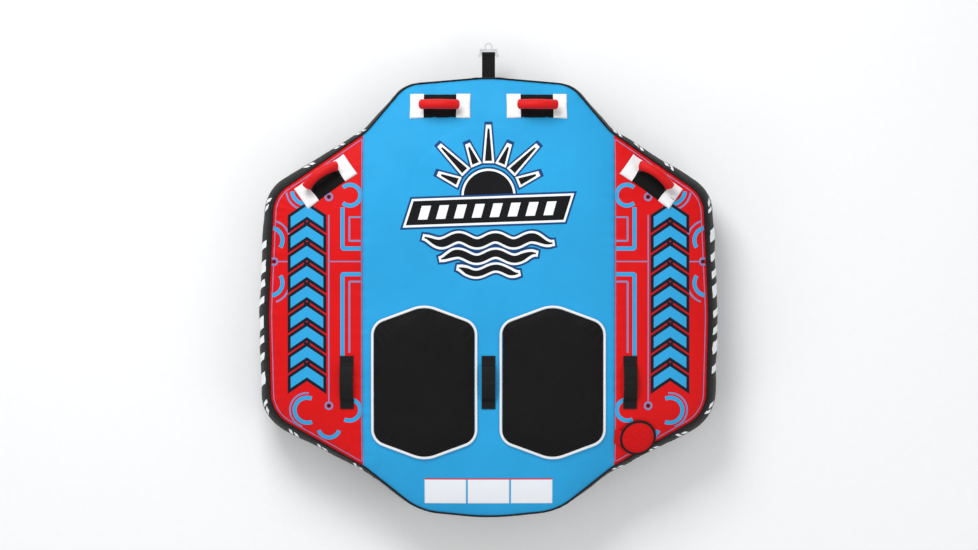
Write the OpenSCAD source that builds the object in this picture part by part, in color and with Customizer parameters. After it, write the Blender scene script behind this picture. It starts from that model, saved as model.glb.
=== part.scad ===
// Two-rider deck tube for towing behind a boat: an air bladder inside a sewn
// nylon cover, with seat pads, carry handles, a tow point, a boarding-side
// air valve and a zipped access slot in the underside.
// +Y is the direction of travel, +X is the rider's right, +Z is up.
// The origin is the middle of the flat underside. Millimetres throughout.

/* [Hull] */
// Height of the sewn seam between the deck and the side band
seam_z = 255; // [220:5:280]
// Height of the lower seam between the side band and the underside
low_seam_z = 58; // [50:2:70]
// Rise of the deck from its seam to the shoulder of the crown
deck_rise = 60; // [45:1:70]
// Extra rise of the crown in the middle of the deck
crown_rise = 15; // [8:1:20]
// Width of the zone where the deck rounds down to its seam
edge_zone = 260; // [220:10:300]
// Outward bulge of the side band at the widest point
bulge_side = 40; // [30:1:45]
// Outward bulge of the side band at the bow and the stern
bulge_end = 8; // [6:1:14]
// Distance from the centre line to each lengthwise deck seam
deck_seam_x = 458; // [450:1:466]
// Cover cloth thickness
cloth_t = 1.5; // [1.2:0.1:1.8]
// Bladder film thickness
film_t = 0.8; // [0.6:0.1:1.2]

/* [Seats] */
// Sideways distance from the centre line to each seat pad's centre
pad_x = 233; // [231:1:236]
// Lengthwise position of the seat pads' centres
pad_y = -308; // [-312:1:-304]
// Half width of a seat pad with its piping
pad_half_w = 193; // [186:1:194]
// Thickness of the seat pad foam
pad_t = 9; // [6:0.5:12]

/* [Handles] */
// Length of a handle's knuckle guard
guard_l = 219; // [214:1:224]
// Width of a handle's knuckle guard
guard_w = 93; // [88:1:96]
// Thickness of the knuckle guard foam
guard_t = 5; // [4:0.5:6]
// Length of each anchor patch along the handle
patch_l = 50; // [46:1:51]
// Outer radius of the tubular grip
grip_r = 18.5; // [16:0.5:19]
// Length of the tubular grip, end to end
grip_l = 131; // [126:1:134]
// Lean of the front grips towards the stern when slack
lean_front = 14; // [8:1:18]
// Lean of the side grips away from the rider when slack
lean_side = 14; // [8:1:18]

/* [Tow point] */
// Width of the tow webbing
tow_w = 48; // [44:1:50]
// Length of the tow webbing from its root to the fitting's crossbar
tow_l = 82; // [76:1:90]
// Height of the tow point above the resting plane
tow_z = 156; // [150:1:162]
// Radius of the eye for the tow rope's pin or hook
eye_r = 9; // [8:0.5:9.5]
// Thickness of the tow fitting's plate
fit_t = 10; // [9:0.5:11]

/* [Valve] */
// Sideways position of the air valve
valve_x = 543; // [541:1:545]
// Lengthwise position of the air valve
valve_y = -509; // [-510:1:-506]
// Radius of the access flap with its binding
flap_r = 68; // [66:1:69]

/* [Zipper] */
// Half length of the access slot
zip_half = 440; // [400:5:450]
// Lengthwise position of the access slot
zip_y = -420; // [-430:1:-400]

/* [Hidden] */
$fn = 48;
blue = [0.19, 0.64, 0.86];
red = [0.82, 0.08, 0.09];
black = [0.10, 0.10, 0.11];
white = [0.93, 0.93, 0.93];

// ---- plan outline of the deck: corner points with their rounding radii ----
bow_y = 800;
stern_y = -801;
side_corners = [[300, 774, 115], [443, 604, 150], [784, 371, 120], [803, -60, 1200],
    [793, -424, 130], [447, -620, 200], [250, -776, 230]];
ns = len(side_corners);
corners = concat([[0, bow_y, 700]], side_corners, [[0, stern_y, 900]],
    [for (i = [ns - 1:-1:0]) [-side_corners[i][0], side_corners[i][1], side_corners[i][2]]]);

function unit(v) = v / norm(v);
function xy(v) = [v[0], v[1]];
function wrap180(a) = a > 180 ? a - 360 : (a < -180 ? a + 360 : a);
// points of one rounded corner v between neighbours p and n, m steps
function corner_arc(p, v, n, m) =
    let (a = unit(xy(p) - xy(v)), b = unit(xy(n) - xy(v)), half = acos(a * b) / 2,
        t = v[2] / tan(half), c = xy(v) + unit(a + b) * v[2] / sin(half),
        s = xy(v) + a * t - c, f = xy(v) + b * t - c,
        a0 = atan2(s[1], s[0]), sw = wrap180(atan2(f[1], f[0]) - a0))
    [for (k = [0:m]) c + v[2] * [cos(a0 + sw * k / m), sin(a0 + sw * k / m)]];
function rounded(c, m) = [for (i = [0:len(c) - 1])
    each corner_arc(c[(i + len(c) - 1) % len(c)], c[i], c[(i + 1) % len(c)], m)];
function rolled(l, k) = [for (i = [0:len(l) - 1]) l[(i + k) % len(l)]];
// running length along a closed loop
function lengths(l, i = 0, s = 0, acc = []) = i > len(l) ? acc :
    lengths(l, i + 1, s + norm(l[(i + 1) % len(l)] - l[i % len(l)]), concat(acc, [s]));
// n evenly spaced points along a closed loop
function even(l, n) = let (s = lengths(l), tot = s[len(l)],
        tx = [for (i = [0:len(l)]) [s[i], l[i % len(l)][0]]],
        ty = [for (i = [0:len(l)]) [s[i], l[i % len(l)][1]]])
    [for (i = [0:n - 1]) [lookup(tot * i / n, tx), lookup(tot * i / n, ty)]];
// outward normals of a clockwise loop
function normals(l) = [for (i = [0:len(l) - 1])
    let (d = unit(l[(i + 1) % len(l)] - l[(i + len(l) - 1) % len(l)])) [-d[1], d[0]]];

arc_m = 12;
plan = rolled(rounded(corners, arc_m), arc_m / 2);
n_rim = 96;
rim = even(plan, n_rim);
rim_n = normals(rim);
right_half = [for (i = [0:len(plan) - 1]) if (plan[i][0] > 0.01) plan[i]];
nrh = len(right_half);
x_wide = max([for (p = right_half) p[0]]);
bow_tab = concat([[0, plan[0][1]]], [for (p = right_half) if (p[1] > -60) p]);
stern_low = min([for (p = plan) p[1]]);
stern_tab = concat([[0, stern_low]], [for (i = [nrh - 1:-1:0]) if (right_half[i][1] <= -60) right_half[i]]);
side_tab = concat([[stern_low, 0]], [for (i = [nrh - 1:-1:0]) [right_half[i][1], right_half[i][0]]], [[plan[0][1], 0]]);
function y_bow(x) = lookup(abs(x), bow_tab);
function y_stern(x) = lookup(abs(x), stern_tab);
function x_side(y) = lookup(y, side_tab);

// ---- deck height ----
function slant(a, b) = a * b / sqrt(a * a + b * b + 1e-9);
function edge_dist(x, y) = let (gx = max(x_side(y) - abs(x), 1e-3),
        f = max(slant(gx, max(y_bow(x) - y, 1e-3)), 1e-3), r = max(slant(gx, max(y - y_stern(x), 1e-3)), 1e-3))
    pow(pow(f, -4) + pow(r, -4), -0.25);
function roundover(s) = pow(1 - pow(1 - min(max(s, 0), 1), 2.2), 0.8);
function deck_z(x, y) = let (p = roundover(edge_dist(x, y) / edge_zone))
    seam_z + p * (deck_rise + crown_rise * (1 - 0.8 * pow(x / 800, 2)) * (1 - 0.8 * pow(y / 800, 2)));
// local frame standing on the deck, X axis turned by az in plan
function deck_frame(x, y, az) = let (h = 6,
        zx = (deck_z(x + h, y) - deck_z(x - h, y)) / (2 * h), zy = (deck_z(x, y + h) - deck_z(x, y - h)) / (2 * h),
        ez = unit([-zx, -zy, 1]), ex = unit([cos(az), sin(az), zx * cos(az) + zy * sin(az)]), ey = cross(ez, ex))
    [[ex[0], ey[0], ez[0], x], [ex[1], ey[1], ez[1], y], [ex[2], ey[2], ez[2], deck_z(x, y)], [0, 0, 0, 1]];
// side band bulge at plan position x, share v of the way from the lower to the upper seam
function bulge(x) = bulge_end + (bulge_side - bulge_end) * pow(min(max((abs(x) - 150) / 650, 0), 1), 1.3);
function band_off(v) = pow(max(1 - pow(2 * v - 1, 2), 0), 0.7);

// ---- surfaces made of point grids ----
// a closed solid between an upper grid a and a lower grid b (rows of points);
// loop joins the last column to the first, hub closes the last row on a point
module between(a, b, loop = false, hub = []) {
    nr = len(a); nc = len(a[0]); o = nr * nc; h = 2 * o;
    last = loop ? nc - 1 : nc - 2;
    function q(j, i) = j * nc + (i % nc);
    pts = concat([for (r = a) each r], [for (r = b) each r], hub);
    faces = concat(
        [for (j = [0:nr - 2], i = [0:last]) each [[q(j, i), q(j, i + 1), q(j + 1, i + 1)], [q(j, i), q(j + 1, i + 1), q(j + 1, i)]]],
        [for (j = [0:nr - 2], i = [0:last]) each [[o + q(j + 1, i + 1), o + q(j, i + 1), o + q(j, i)], [o + q(j + 1, i), o + q(j + 1, i + 1), o + q(j, i)]]],
        [for (i = [0:last]) each [[q(0, i + 1), q(0, i), o + q(0, i)], [q(0, i + 1), o + q(0, i), o + q(0, i + 1)]]],
        len(hub) == 0 ? [for (i = [0:last]) each [[q(nr - 1, i), q(nr - 1, i + 1), o + q(nr - 1, i + 1)], [q(nr - 1, i), o + q(nr - 1, i + 1), o + q(nr - 1, i)]]]
            : [for (i = [0:last]) each [[q(nr - 1, i), q(nr - 1, i + 1), h], [o + q(nr - 1, i + 1), o + q(nr - 1, i), h + 1]]],
        loop ? [] : [for (j = [0:nr - 2]) each [[q(j, 0), q(j + 1, 0), o + q(j + 1, 0)], [q(j, 0), o + q(j + 1, 0), o + q(j, 0)],
            [q(j + 1, nc - 1), q(j, nc - 1), o + q(j, nc - 1)], [q(j + 1, nc - 1), o + q(j, nc - 1), o + q(j + 1, nc - 1)]]]);
    polyhedron(points = pts, faces = faces, convexity = 6);
}
// a closed ring: one closed section of points at each step round the loop
module ring(sec) {
    n = len(sec); m = len(sec[0]);
    polyhedron(points = [for (s = sec) each s],
        faces = [for (i = [0:n - 1], j = [0:m - 1]) each
            [[i * m + j, ((i + 1) % n) * m + j, ((i + 1) % n) * m + (j + 1) % m],
             [i * m + j, ((i + 1) % n) * m + (j + 1) % m, i * m + (j + 1) % m]]], convexity = 8);
}
// round cord of radius r along a closed loop of 3-D points with plan normals
module cord(path, nrm, r, m = 6) {
    ring([for (i = [0:len(path) - 1]) [for (k = [0:m - 1]) path[i] + r * [nrm[i][0] * cos(360 * k / m), nrm[i][1] * cos(360 * k / m), sin(360 * k / m)]]]);
}

// ---- cover ----
module cover_deck_center() color(blue) {
    nx = 34; ny = 26;
    g = [for (i = [0:nx]) let (x = -deck_seam_x + 2 * deck_seam_x * i / nx, y0 = y_stern(x), y1 = y_bow(x))
        [for (j = [0:ny]) let (u = 0.5 - 0.5 * cos(180 * j / ny), w = 0.55 * u + 0.45 * j / ny, y = y0 + (y1 - y0) * w) [x, y, deck_z(x, y)]]];
    between(g, [for (r = g) [for (p = r) p - [0, 0, cloth_t]]]);
}
module deck_wing() {
    ny = 40; nx = 7; x0 = deck_seam_x + 0.5; ya = y_stern(x0 + 3) ; yb = y_bow(x0 + 3);
    g = [for (j = [0:ny]) let (u = 0.5 - 0.5 * cos(180 * j / ny), y = ya + (yb - ya) * (0.5 * u + 0.5 * j / ny), x1 = x_side(y))
        [for (i = [0:nx]) let (w = i / nx, x = x0 + (x1 - x0) * (0.45 * w + 0.55 * sin(90 * w))) [x, y, deck_z(x, y)]]];
    between([for (r = g) [for (i = [nx:-1:0]) r[i]]], [for (r = g) [for (i = [nx:-1:0]) r[i] - [0, 0, cloth_t]]]);
}
module cover_deck_left() color(red) mirror([1, 0, 0]) deck_wing();
module cover_deck_right() color(red) difference() {
    deck_wing();
    multmatrix(valve_m) translate([0, 0, -20]) cylinder(r = 42, h = 40);
}
band_lo = low_seam_z + 2;
band_hi = seam_z - cloth_t - 0.6;
module cover_side_band() color(black) {
    m = 7;
    ring([for (i = [0:n_rim - 1]) let (q = rim[i], n = rim_n[i], b = bulge(q[0]),
            out = [for (k = [0:m]) let (v = k / m, d = b * band_off(v)) [q[0] + n[0] * d, q[1] + n[1] * d, band_lo + (band_hi - band_lo) * v]])
        concat([for (k = [0:m]) out[k]], [for (k = [m:-1:0]) out[k] - cloth_t * [n[0], n[1], 0]])]);
}
plate_f = 0.84;
// underside profile: share e of the way from the flat panel's edge to the lower seam
function keel_z(e) = low_seam_z * (1 - sqrt(max(1 - 0.92 * e * e, 0))) / (1 - sqrt(0.08));
module cover_bottom() color(black) {
    difference() {
        linear_extrude(cloth_t) polygon([for (q = rim) q * plate_f]);
        translate([-zip_half, zip_y - 15, -1]) cube([2 * zip_half, 30, 5]);
    }
    m = 5;
    ring([for (i = [0:n_rim - 1]) let (q = rim[i], a = q * (plate_f + 0.0002),
            out = [for (k = [0:m]) let (e = k / m, p = a + (q - a) * e) [p[0], p[1], keel_z(e)]])
        concat([for (k = [m:-1:0]) out[k] + [0, 0, cloth_t]], [for (k = [0:m]) out[k]])]);
}
module seam_piping_top() color(black)
    cord([for (i = [0:n_rim - 1]) [rim[i][0] + 5.6 * rim_n[i][0], rim[i][1] + 5.6 * rim_n[i][1], seam_z + 3.6]], rim_n, 3.5);
module seam_piping_bottom() color(black)
    cord([for (i = [0:n_rim - 1]) [rim[i][0] + 4 * rim_n[i][0], rim[i][1] + 4 * rim_n[i][1], low_seam_z - 2]], rim_n, 3.2);

// ---- bladder ----
mid_z = 0.5 * (seam_z + low_seam_z);
n_bl = 72;
brim = even(plan, n_bl);
brim_n = normals(brim);
function sky(p, k) = [p[0], p[1], deck_z(p[0], p[1]) - k];
function bladder_up(k) = [
    [for (i = [0:n_bl - 1]) let (d = bulge(brim[i][0]) - 11 - k) [brim[i][0] + d * brim_n[i][0], brim[i][1] + d * brim_n[i][1], mid_z + 0.6]],
    [for (i = [0:n_bl - 1]) let (d = bulge(brim[i][0]) * 0.7 - 11 - k) [brim[i][0] + d * brim_n[i][0], brim[i][1] + d * brim_n[i][1], mid_z + 0.55 * (seam_z - mid_z)]],
    [for (i = [0:n_bl - 1]) let (d = -14 - k) [brim[i][0] + d * brim_n[i][0], brim[i][1] + d * brim_n[i][1], seam_z - 12 - 0.5 * k]],
    for (f = [0.93, 0.85, 0.72, 0.5, 0.25]) [for (i = [0:n_bl - 1]) sky(brim[i] * f, 10 + k)]];
function bladder_down(k) = [
    [for (i = [0:n_bl - 1]) let (d = bulge(brim[i][0]) - 11 - k) [brim[i][0] + d * brim_n[i][0], brim[i][1] + d * brim_n[i][1], mid_z - 0.6]],
    [for (i = [0:n_bl - 1]) let (d = bulge(brim[i][0]) * 0.6 - 11 - k) [brim[i][0] + d * brim_n[i][0], brim[i][1] + d * brim_n[i][1], mid_z - 0.6 * (mid_z - low_seam_z)]],
    [for (i = [0:n_bl - 1]) let (d = -16 - k) [brim[i][0] + d * brim_n[i][0], brim[i][1] + d * brim_n[i][1], low_seam_z + 10 + k]],
    [for (i = [0:n_bl - 1]) [brim[i][0] * 0.92, brim[i][1] * 0.92, keel_z(0.5) + 14 + k]],
    for (f = [0.84, 0.5, 0.25]) [for (i = [0:n_bl - 1]) [brim[i][0] * f, brim[i][1] * f, 8 + k]]];
module bladder_top_skin() color([0.75, 0.77, 0.8]) difference() {
    between(bladder_up(0), bladder_up(film_t), true, [sky([0, 0], 10), sky([0, 0], 10 + film_t)]);
    multmatrix(valve_m) translate([0, 0, -60]) cylinder(r = 25, h = 90);
}
module bladder_bottom_skin() color([0.75, 0.77, 0.8])
    between(bladder_down(film_t), bladder_down(0), true, [[0, 0, 8 + film_t], [0, 0, 8]]);
module bladder_baffles() color([0.8, 0.82, 0.85])
    for (x = [-600:300:600]) {
        y0 = 0.66 * y_stern(x); y1 = 0.66 * y_bow(x); n = 14;
        translate([x - 0.4, 0, 0]) rotate([90, 0, 90]) linear_extrude(0.8)
            polygon(concat([[y0, 10.5], [y1, 10.5]], [for (k = [n:-1:0]) let (y = y0 + (y1 - y0) * k / n) [y, deck_z(x, y) - 16]]));
    }

// ---- air valve, standing on the deck's local frame ----
valve_m = deck_frame(valve_x, valve_y, 0);
module on_valve() multmatrix(valve_m) children();
module valve_base() color([0.9, 0.9, 0.9]) on_valve() rotate_extrude()
    polygon([[20, -24], [23, -24], [23, -8], [35, -8], [35, -6.5], [23, -6.5], [23, 1], [20, 1]]);
module valve_insert() color([0.85, 0.86, 0.88]) on_valve() {
    rotate_extrude() polygon([[15, -18], [19.9, -18], [19.9, -7], [16.5, -7], [16.5, -14], [15, -14]]);
    for (a = [0, 60, 120]) rotate(a) translate([-16, -1, -16.5]) cube([32, 2, 2.5]);
}
module valve_diaphragm() color([0.2, 0.2, 0.22]) on_valve() {
    translate([0, 0, -20]) cylinder(r = 17, h = 1.6);
}
module valve_cap() color([0.12, 0.12, 0.13]) on_valve() {
    difference() {
        union() {
            translate([0, 0, 3.4]) cylinder(r = 25, h = 3);
            translate([0, 0, -4]) cylinder(r = 17.4, h = 7.5);
            for (a = [0:30:330]) rotate(a) translate([24.6, -2, 3.4]) cube([2, 4, 3]);
        }
        translate([0, 0, -5]) cylinder(r = 14, h = 6);
        rotate_extrude() translate([17.6, -1.5]) circle(r = 1.45);
    }
    translate([-14, -2, 6.3]) cube([28, 4, 1.5]);
}
module valve_cap_seal() color([0.75, 0.1, 0.1]) on_valve() rotate_extrude() translate([18.2, -1.5]) circle(r = 1.4);
module valve_tether() color([0.15, 0.15, 0.16]) on_valve() {
    translate([0, 0, 1.4]) difference() { cylinder(r = 23.5, h = 1.5); translate([0, 0, -1]) cylinder(r = 18.4, h = 4); }
    translate([-36, -3, 1.4]) cube([14, 6, 1.5]);
    translate([-36, -3, -4.2]) cube([2, 6, 7]);
    translate([-40, -4, -5.4]) cube([12, 8, 1.5]);
}
module valve_port_binding() color(black) on_valve() translate([0, 0, 0.4]) difference() {
    cylinder(r = 50, h = 1.4); translate([0, 0, -1]) cylinder(r = 43, h = 4);
}
module valve_flap() color(red) on_valve() rotate_extrude()
    polygon([[0, 9.6], [24, 9.6], [38, 8.2], [52, 4.4], [61.5, 2.4], [61.5, 4], [52, 6], [38, 9.8], [24, 11.2], [0, 11.4]]);
module valve_flap_binding() color(black) on_valve() {
    translate([0, 0, 2.2]) difference() { cylinder(r = flap_r, h = 2.6); translate([0, 0, -1]) cylinder(r = 61.6, h = 6); }
    translate([-flap_r - 4, -24, 2.7]) cube([6, 48, 1.6]);
    translate([-flap_r - 5, 24, 3.5]) rotate([90, 0, 0]) cylinder(r = 1.6, h = 48);
}
module valve_flap_hinge_tab() color(black) on_valve() translate([-flap_r - 16, -30, 0.2]) cube([15, 60, 1.4]);

// ---- seat pads ----
function pad_corners() = [[0, 287, 121], [pad_half_w, 216, 63], [pad_half_w, -216, 63], [0, -287, 121], [-pad_half_w, -216, 63], [-pad_half_w, 216, 63]];
pad_loop = even(rolled(rounded(pad_corners(), 8), 4), 48);
pad_ln = normals(pad_loop);
seat_gap = 1.6;
module seat_pad(sx) {
    c = [sx * pad_x, pad_y];
    function at(f, d, k) = [for (i = [0:47]) let (p = c + (pad_loop[i] - d * pad_ln[i]) * f) [p[0], p[1], deck_z(p[0], p[1]) + k]];
    rows = [[1, 10.4, pad_t * 0.45], [1, 14, pad_t * 0.9], [0.86, 10.4, pad_t], [0.6, 10.4, pad_t], [0.3, 10.4, pad_t]];
    between([for (r = rows) at(r[0], r[1], seat_gap + r[2])], [for (r = rows) at(r[0], r[1], seat_gap)], true,
        [[c[0], c[1], deck_z(c[0], c[1]) + seat_gap + pad_t], [c[0], c[1], deck_z(c[0], c[1]) + seat_gap]]);
}
module seat_piping(sx) {
    c = [sx * pad_x, pad_y];
    cord([for (i = [0:47]) let (p = c + pad_loop[i] - 5 * pad_ln[i]) [p[0], p[1], deck_z(p[0], p[1]) + 6.6]], pad_ln, 4.8);
}
module seat_pad_left() color(black) seat_pad(-1);
module seat_pad_right() color(black) seat_pad(1);
module seat_piping_left() color(white) seat_piping(-1);
module seat_piping_right() color(white) seat_piping(1);

// ---- handles: local X runs along the grip, Z stands off the deck ----
fl_m = deck_frame(-176, 697, 0);
fr_m = deck_frame(176, 697, 0);
sl_m = deck_frame(-593, 423, 35.3);
sr_m = deck_frame(593, 423, -35.3);
pivot_h = guard_t + 0.8 + 6;
arch_r = 108.5;
arch_h = 52;
module slab(l, w, t, r) { // rounded plate
    translate([-l / 2 + r, -w / 2, 0]) cube([l - 2 * r, w, t]);
    translate([-l / 2, -w / 2 + r, 0]) cube([l, w - 2 * r, t]);
    for (x = [-1, 1], y = [-1, 1]) translate([x * (l / 2 - r), y * (w / 2 - r), 0]) cylinder(r = r, h = t);
}
module guard() color(black) translate([0, 0, 0.8]) slab(guard_l, guard_w, guard_t, 8);
module patches() color(white) for (s = [-1, 1]) translate([s * (guard_l - patch_l) / 2, 0, guard_t + 1.2]) difference() {
    slab(patch_l, guard_w, 4, 5);
    translate([-patch_l, -14, -1]) cube([2 * patch_l, 28, 3.2]);
}
module tails() color(black) for (s = [-1, 1]) translate([s * (guard_l - patch_l) / 2, 0, guard_t + 1.2])
    translate([-patch_l / 2 + (s > 0 ? 0.4 : 2), -13, 0.1]) cube([patch_l - 2.4, 26, 1.8]);
// pieces of the loop, about the pivot line, leaning by a
module loop_frame(a) translate([0, 0, pivot_h]) rotate([a, 0, 0]) children();
half_deg = asin(grip_l / 2 / arch_r);
module core(a) color(black) loop_frame(a) {
    translate([0, 0, arch_h - arch_r]) rotate([90, 0, 0]) rotate([0, 0, 90 - half_deg - 3])
        rotate_extrude(angle = 2 * half_deg + 6, $fn = 96) translate([arch_r - 2.5, -6.5]) square([5, 13]);
    ex = arch_r * sin(half_deg + 2); ez = arch_h - arch_r + arch_r * cos(half_deg + 2);
    for (s = [-1, 1]) {
        d = [s * (ex - 54), ez];
        translate([s * 54, 0, 0]) rotate([0, atan2(d[0], d[1]), 0]) translate([-2.2, -5.9, 0]) cube([4.4, 11.8, norm(d)]);
        translate([s * 52.5 - 3.5, 0, 0]) rotate([0, 90, 0]) cylinder(r = 5.2, h = 7);
    }
}
module grip(a) color(red) loop_frame(a) translate([0, 0, arch_h - arch_r]) rotate([90, 0, 0]) rotate([0, 0, 90 - half_deg])
    rotate_extrude(angle = 2 * half_deg, $fn = 96) translate([arch_r, 0]) difference() { circle(r = grip_r); circle(r = 8.5); }
module handle_front_left_guard() multmatrix(fl_m) guard();
module handle_front_right_guard() multmatrix(fr_m) guard();
module handle_side_left_guard() multmatrix(sl_m) guard();
module handle_side_right_guard() multmatrix(sr_m) guard();
module handle_front_left_patches() multmatrix(fl_m) patches();
module handle_front_right_patches() multmatrix(fr_m) patches();
module handle_side_left_patches() multmatrix(sl_m) patches();
module handle_side_right_patches() multmatrix(sr_m) patches();
module handle_front_left_core() multmatrix(fl_m) core(lean_front);
module handle_front_right_core() multmatrix(fr_m) core(lean_front);
module handle_side_left_core() multmatrix(sl_m) core(-lean_side);
module handle_side_right_core() multmatrix(sr_m) core(-lean_side);
module handle_front_left_grip() multmatrix(fl_m) grip(lean_front);
module handle_front_right_grip() multmatrix(fr_m) grip(lean_front);
module handle_side_left_grip() multmatrix(sl_m) grip(-lean_side);
module handle_side_right_grip() multmatrix(sr_m) grip(-lean_side);
module handle_strap_tails() for (m = [fl_m, fr_m, sl_m, sr_m]) multmatrix(m) tails();

// ---- grab straps: local X runs across the strap, Y along it ----
strap_w = 50; strap_l = 193; strap_t = 2.6;
gl_m = deck_frame(-514, -308, 0);
gc_m = deck_frame(0, -308, 0);
gr_m = deck_frame(514, -308, 0);
tab_l = 30;
free_l = strap_l - 2 * tab_l - 4;
strap_lift = 9;
strap_rise = 13;
strap_R = (pow(free_l / 2, 2) + pow(strap_rise, 2)) / (2 * strap_rise);
strap_a = asin(free_l / 2 / strap_R);
module grab_arch() color(black)
    translate([0, 0, strap_lift + strap_rise - strap_R]) rotate([0, 90, 0]) rotate([0, 0, 180 - strap_a])
        translate([0, 0, -strap_w / 2]) rotate_extrude(angle = 2 * strap_a, $fn = 96) translate([strap_R, 0]) square([strap_t, strap_w]);
module grab_strap_left() multmatrix(gl_m) grab_arch();
module grab_strap_center() multmatrix(gc_m) grab_arch();
module grab_strap_right() multmatrix(gr_m) grab_arch();
module grab_strap_tabs() color(black) for (m = [gl_m, gc_m, gr_m]) multmatrix(m) for (s = [-1, 1])
    translate([0, s * (strap_l - tab_l) / 2, 1.2]) slab(strap_w, tab_l, strap_t, 2);

// ---- tow point ----
tow_root_y = bow_y + 13.5;
bar_y = tow_root_y + tow_l;
bar_r = 4.5;
module tow_patch() color(black) {
    translate([-60, bow_y + 6, tow_z - 42]) cube([120, 3, 34]);
    translate([-60, bow_y + 6, tow_z + 8]) cube([120, 3, 34]);
    translate([-60, bow_y + 6, tow_z - 10]) cube([30, 3, 20]);
    translate([30, bow_y + 6, tow_z - 10]) cube([30, 3, 20]);
}
module tow_strap() color(black) {
    for (z = [-1, 1]) translate([-tow_w / 2, tow_root_y - 1, tow_z + (z > 0 ? 0.3 : -3.3)]) cube([tow_w, tow_l - 5, 3]);
    translate([-tow_w / 2, tow_root_y, tow_z]) rotate([0, 90, 0]) cylinder(r = 4.2, h = tow_w);
    translate([-tow_w / 2, bar_y, tow_z]) rotate([0, 90, 0]) difference() {
        cylinder(r = bar_r + 3.1, h = tow_w);
        translate([0, 0, -1]) cylinder(r = bar_r + 0.1, h = tow_w + 2);
    }
}
module tow_fitting() color([0.82, 0.83, 0.84]) {
    difference() {
        union() {
            translate([-33, bar_y, tow_z]) rotate([0, 90, 0]) cylinder(r = bar_r, h = 66);
            for (s = [-1, 1]) {
                translate([s * 29 - 4, bar_y - 6, tow_z - fit_t / 2]) cube([8, 24, fit_t]);
                translate([s * 32, bar_y - 6, tow_z - fit_t / 2]) cylinder(r = 7, h = fit_t);
            }
            translate([-33, bar_y + 9.5, tow_z - fit_t / 2]) cube([66, 9, fit_t]);
            translate([0, bar_y + 26, tow_z - fit_t / 2]) cylinder(r = 15.5, h = fit_t);
        }
        translate([0, bar_y + 26, tow_z - fit_t]) cylinder(r = eye_r, h = 2 * fit_t);
    }
}

// ---- zipper in the underside's slot ----
module zipper_tapes() color([0.15, 0.15, 0.16]) for (s = [-1, 1])
    translate([-zip_half - 12, zip_y + (s > 0 ? 3.6 : -28), cloth_t + 0.2]) cube([2 * zip_half + 24, 24.4, 1]);
module zipper_teeth() color([0.55, 0.56, 0.58]) for (s = [-1, 1]) {
    translate([-zip_half, zip_y + (s > 0 ? 2.2 : -3.5), cloth_t + 0.1]) cube([2 * zip_half, 1.3, 2]);
    for (x = [-zip_half + 10:16:zip_half - 10])
        translate([x, zip_y + (s > 0 ? 0.9 : -2.3), cloth_t + 0.3]) cube([3, 1.4, 1.6]);
}
slider_x = -zip_half + 14;
module zipper_slider() color([0.7, 0.71, 0.73]) translate([slider_x, zip_y, 0]) {
    translate([-9, -6, 0.25]) cube([18, 12, 1]);
    translate([-9, -6, 4.2]) cube([18, 12, 1.2]);
    translate([-6, -0.7, 0.5]) cube([12, 1.4, 4.2]);
    for (s = [-1, 1]) translate([10.5, s * 3.2 - 1, 0.25]) cube([5, 2, cloth_t - 0.3]);
    for (s = [-1, 1]) translate([8, s * 3.2 - 1, 0.25]) cube([4, 2, 1]);
}
module zipper_pull() color([0.7, 0.71, 0.73]) translate([slider_x + 13.4, zip_y, 0.95]) {
    rotate([90, 0, 0]) translate([0, 0, -1.9]) cylinder(r = 0.7, h = 3.8);
    translate([0, -1.5, -0.6]) cube([8, 3, 1.2]);
    translate([7, -6, -0.6]) cube([26, 12, 1.2]);
}

// ---- blank information label near the stern ----
module info_label() color([0.95, 0.96, 0.97]) {
    nx = 18; ny = 5;
    g = [for (i = [0:nx]) let (x = -232.5 + 465 * i / nx) [for (j = [0:ny]) let (y = -749.5 + 93 * j / ny) [x, y, deck_z(x, y) + 2.4]]];
    between(g, [for (r = g) [for (p = r) p - [0, 0, 0.9]]]);
}

cover_deck_center();
cover_deck_left();
cover_deck_right();
cover_side_band();
cover_bottom();
seam_piping_top();
seam_piping_bottom();
bladder_top_skin();
bladder_bottom_skin();
bladder_baffles();
valve_base();
valve_insert();
valve_diaphragm();
valve_cap();
valve_cap_seal();
valve_tether();
valve_port_binding();
valve_flap();
valve_flap_binding();
valve_flap_hinge_tab();
seat_pad_left();
seat_pad_right();
seat_piping_left();
seat_piping_right();
handle_front_left_guard();
handle_front_right_guard();
handle_side_left_guard();
handle_side_right_guard();
handle_front_left_patches();
handle_front_right_patches();
handle_side_left_patches();
handle_side_right_patches();
handle_front_left_core();
handle_front_right_core();
handle_side_left_core();
handle_side_right_core();
handle_front_left_grip();
handle_front_right_grip();
handle_side_left_grip();
handle_side_right_grip();
handle_strap_tails();
grab_strap_left();
grab_strap_center();
grab_strap_right();
grab_strap_tabs();
tow_patch();
tow_strap();
tow_fitting();
zipper_tapes();
zipper_teeth();
zipper_slider();
zipper_pull();
info_label();
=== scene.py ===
import math
import bmesh
import bpy
import numpy as np
from mathutils import Matrix, Vector


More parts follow.
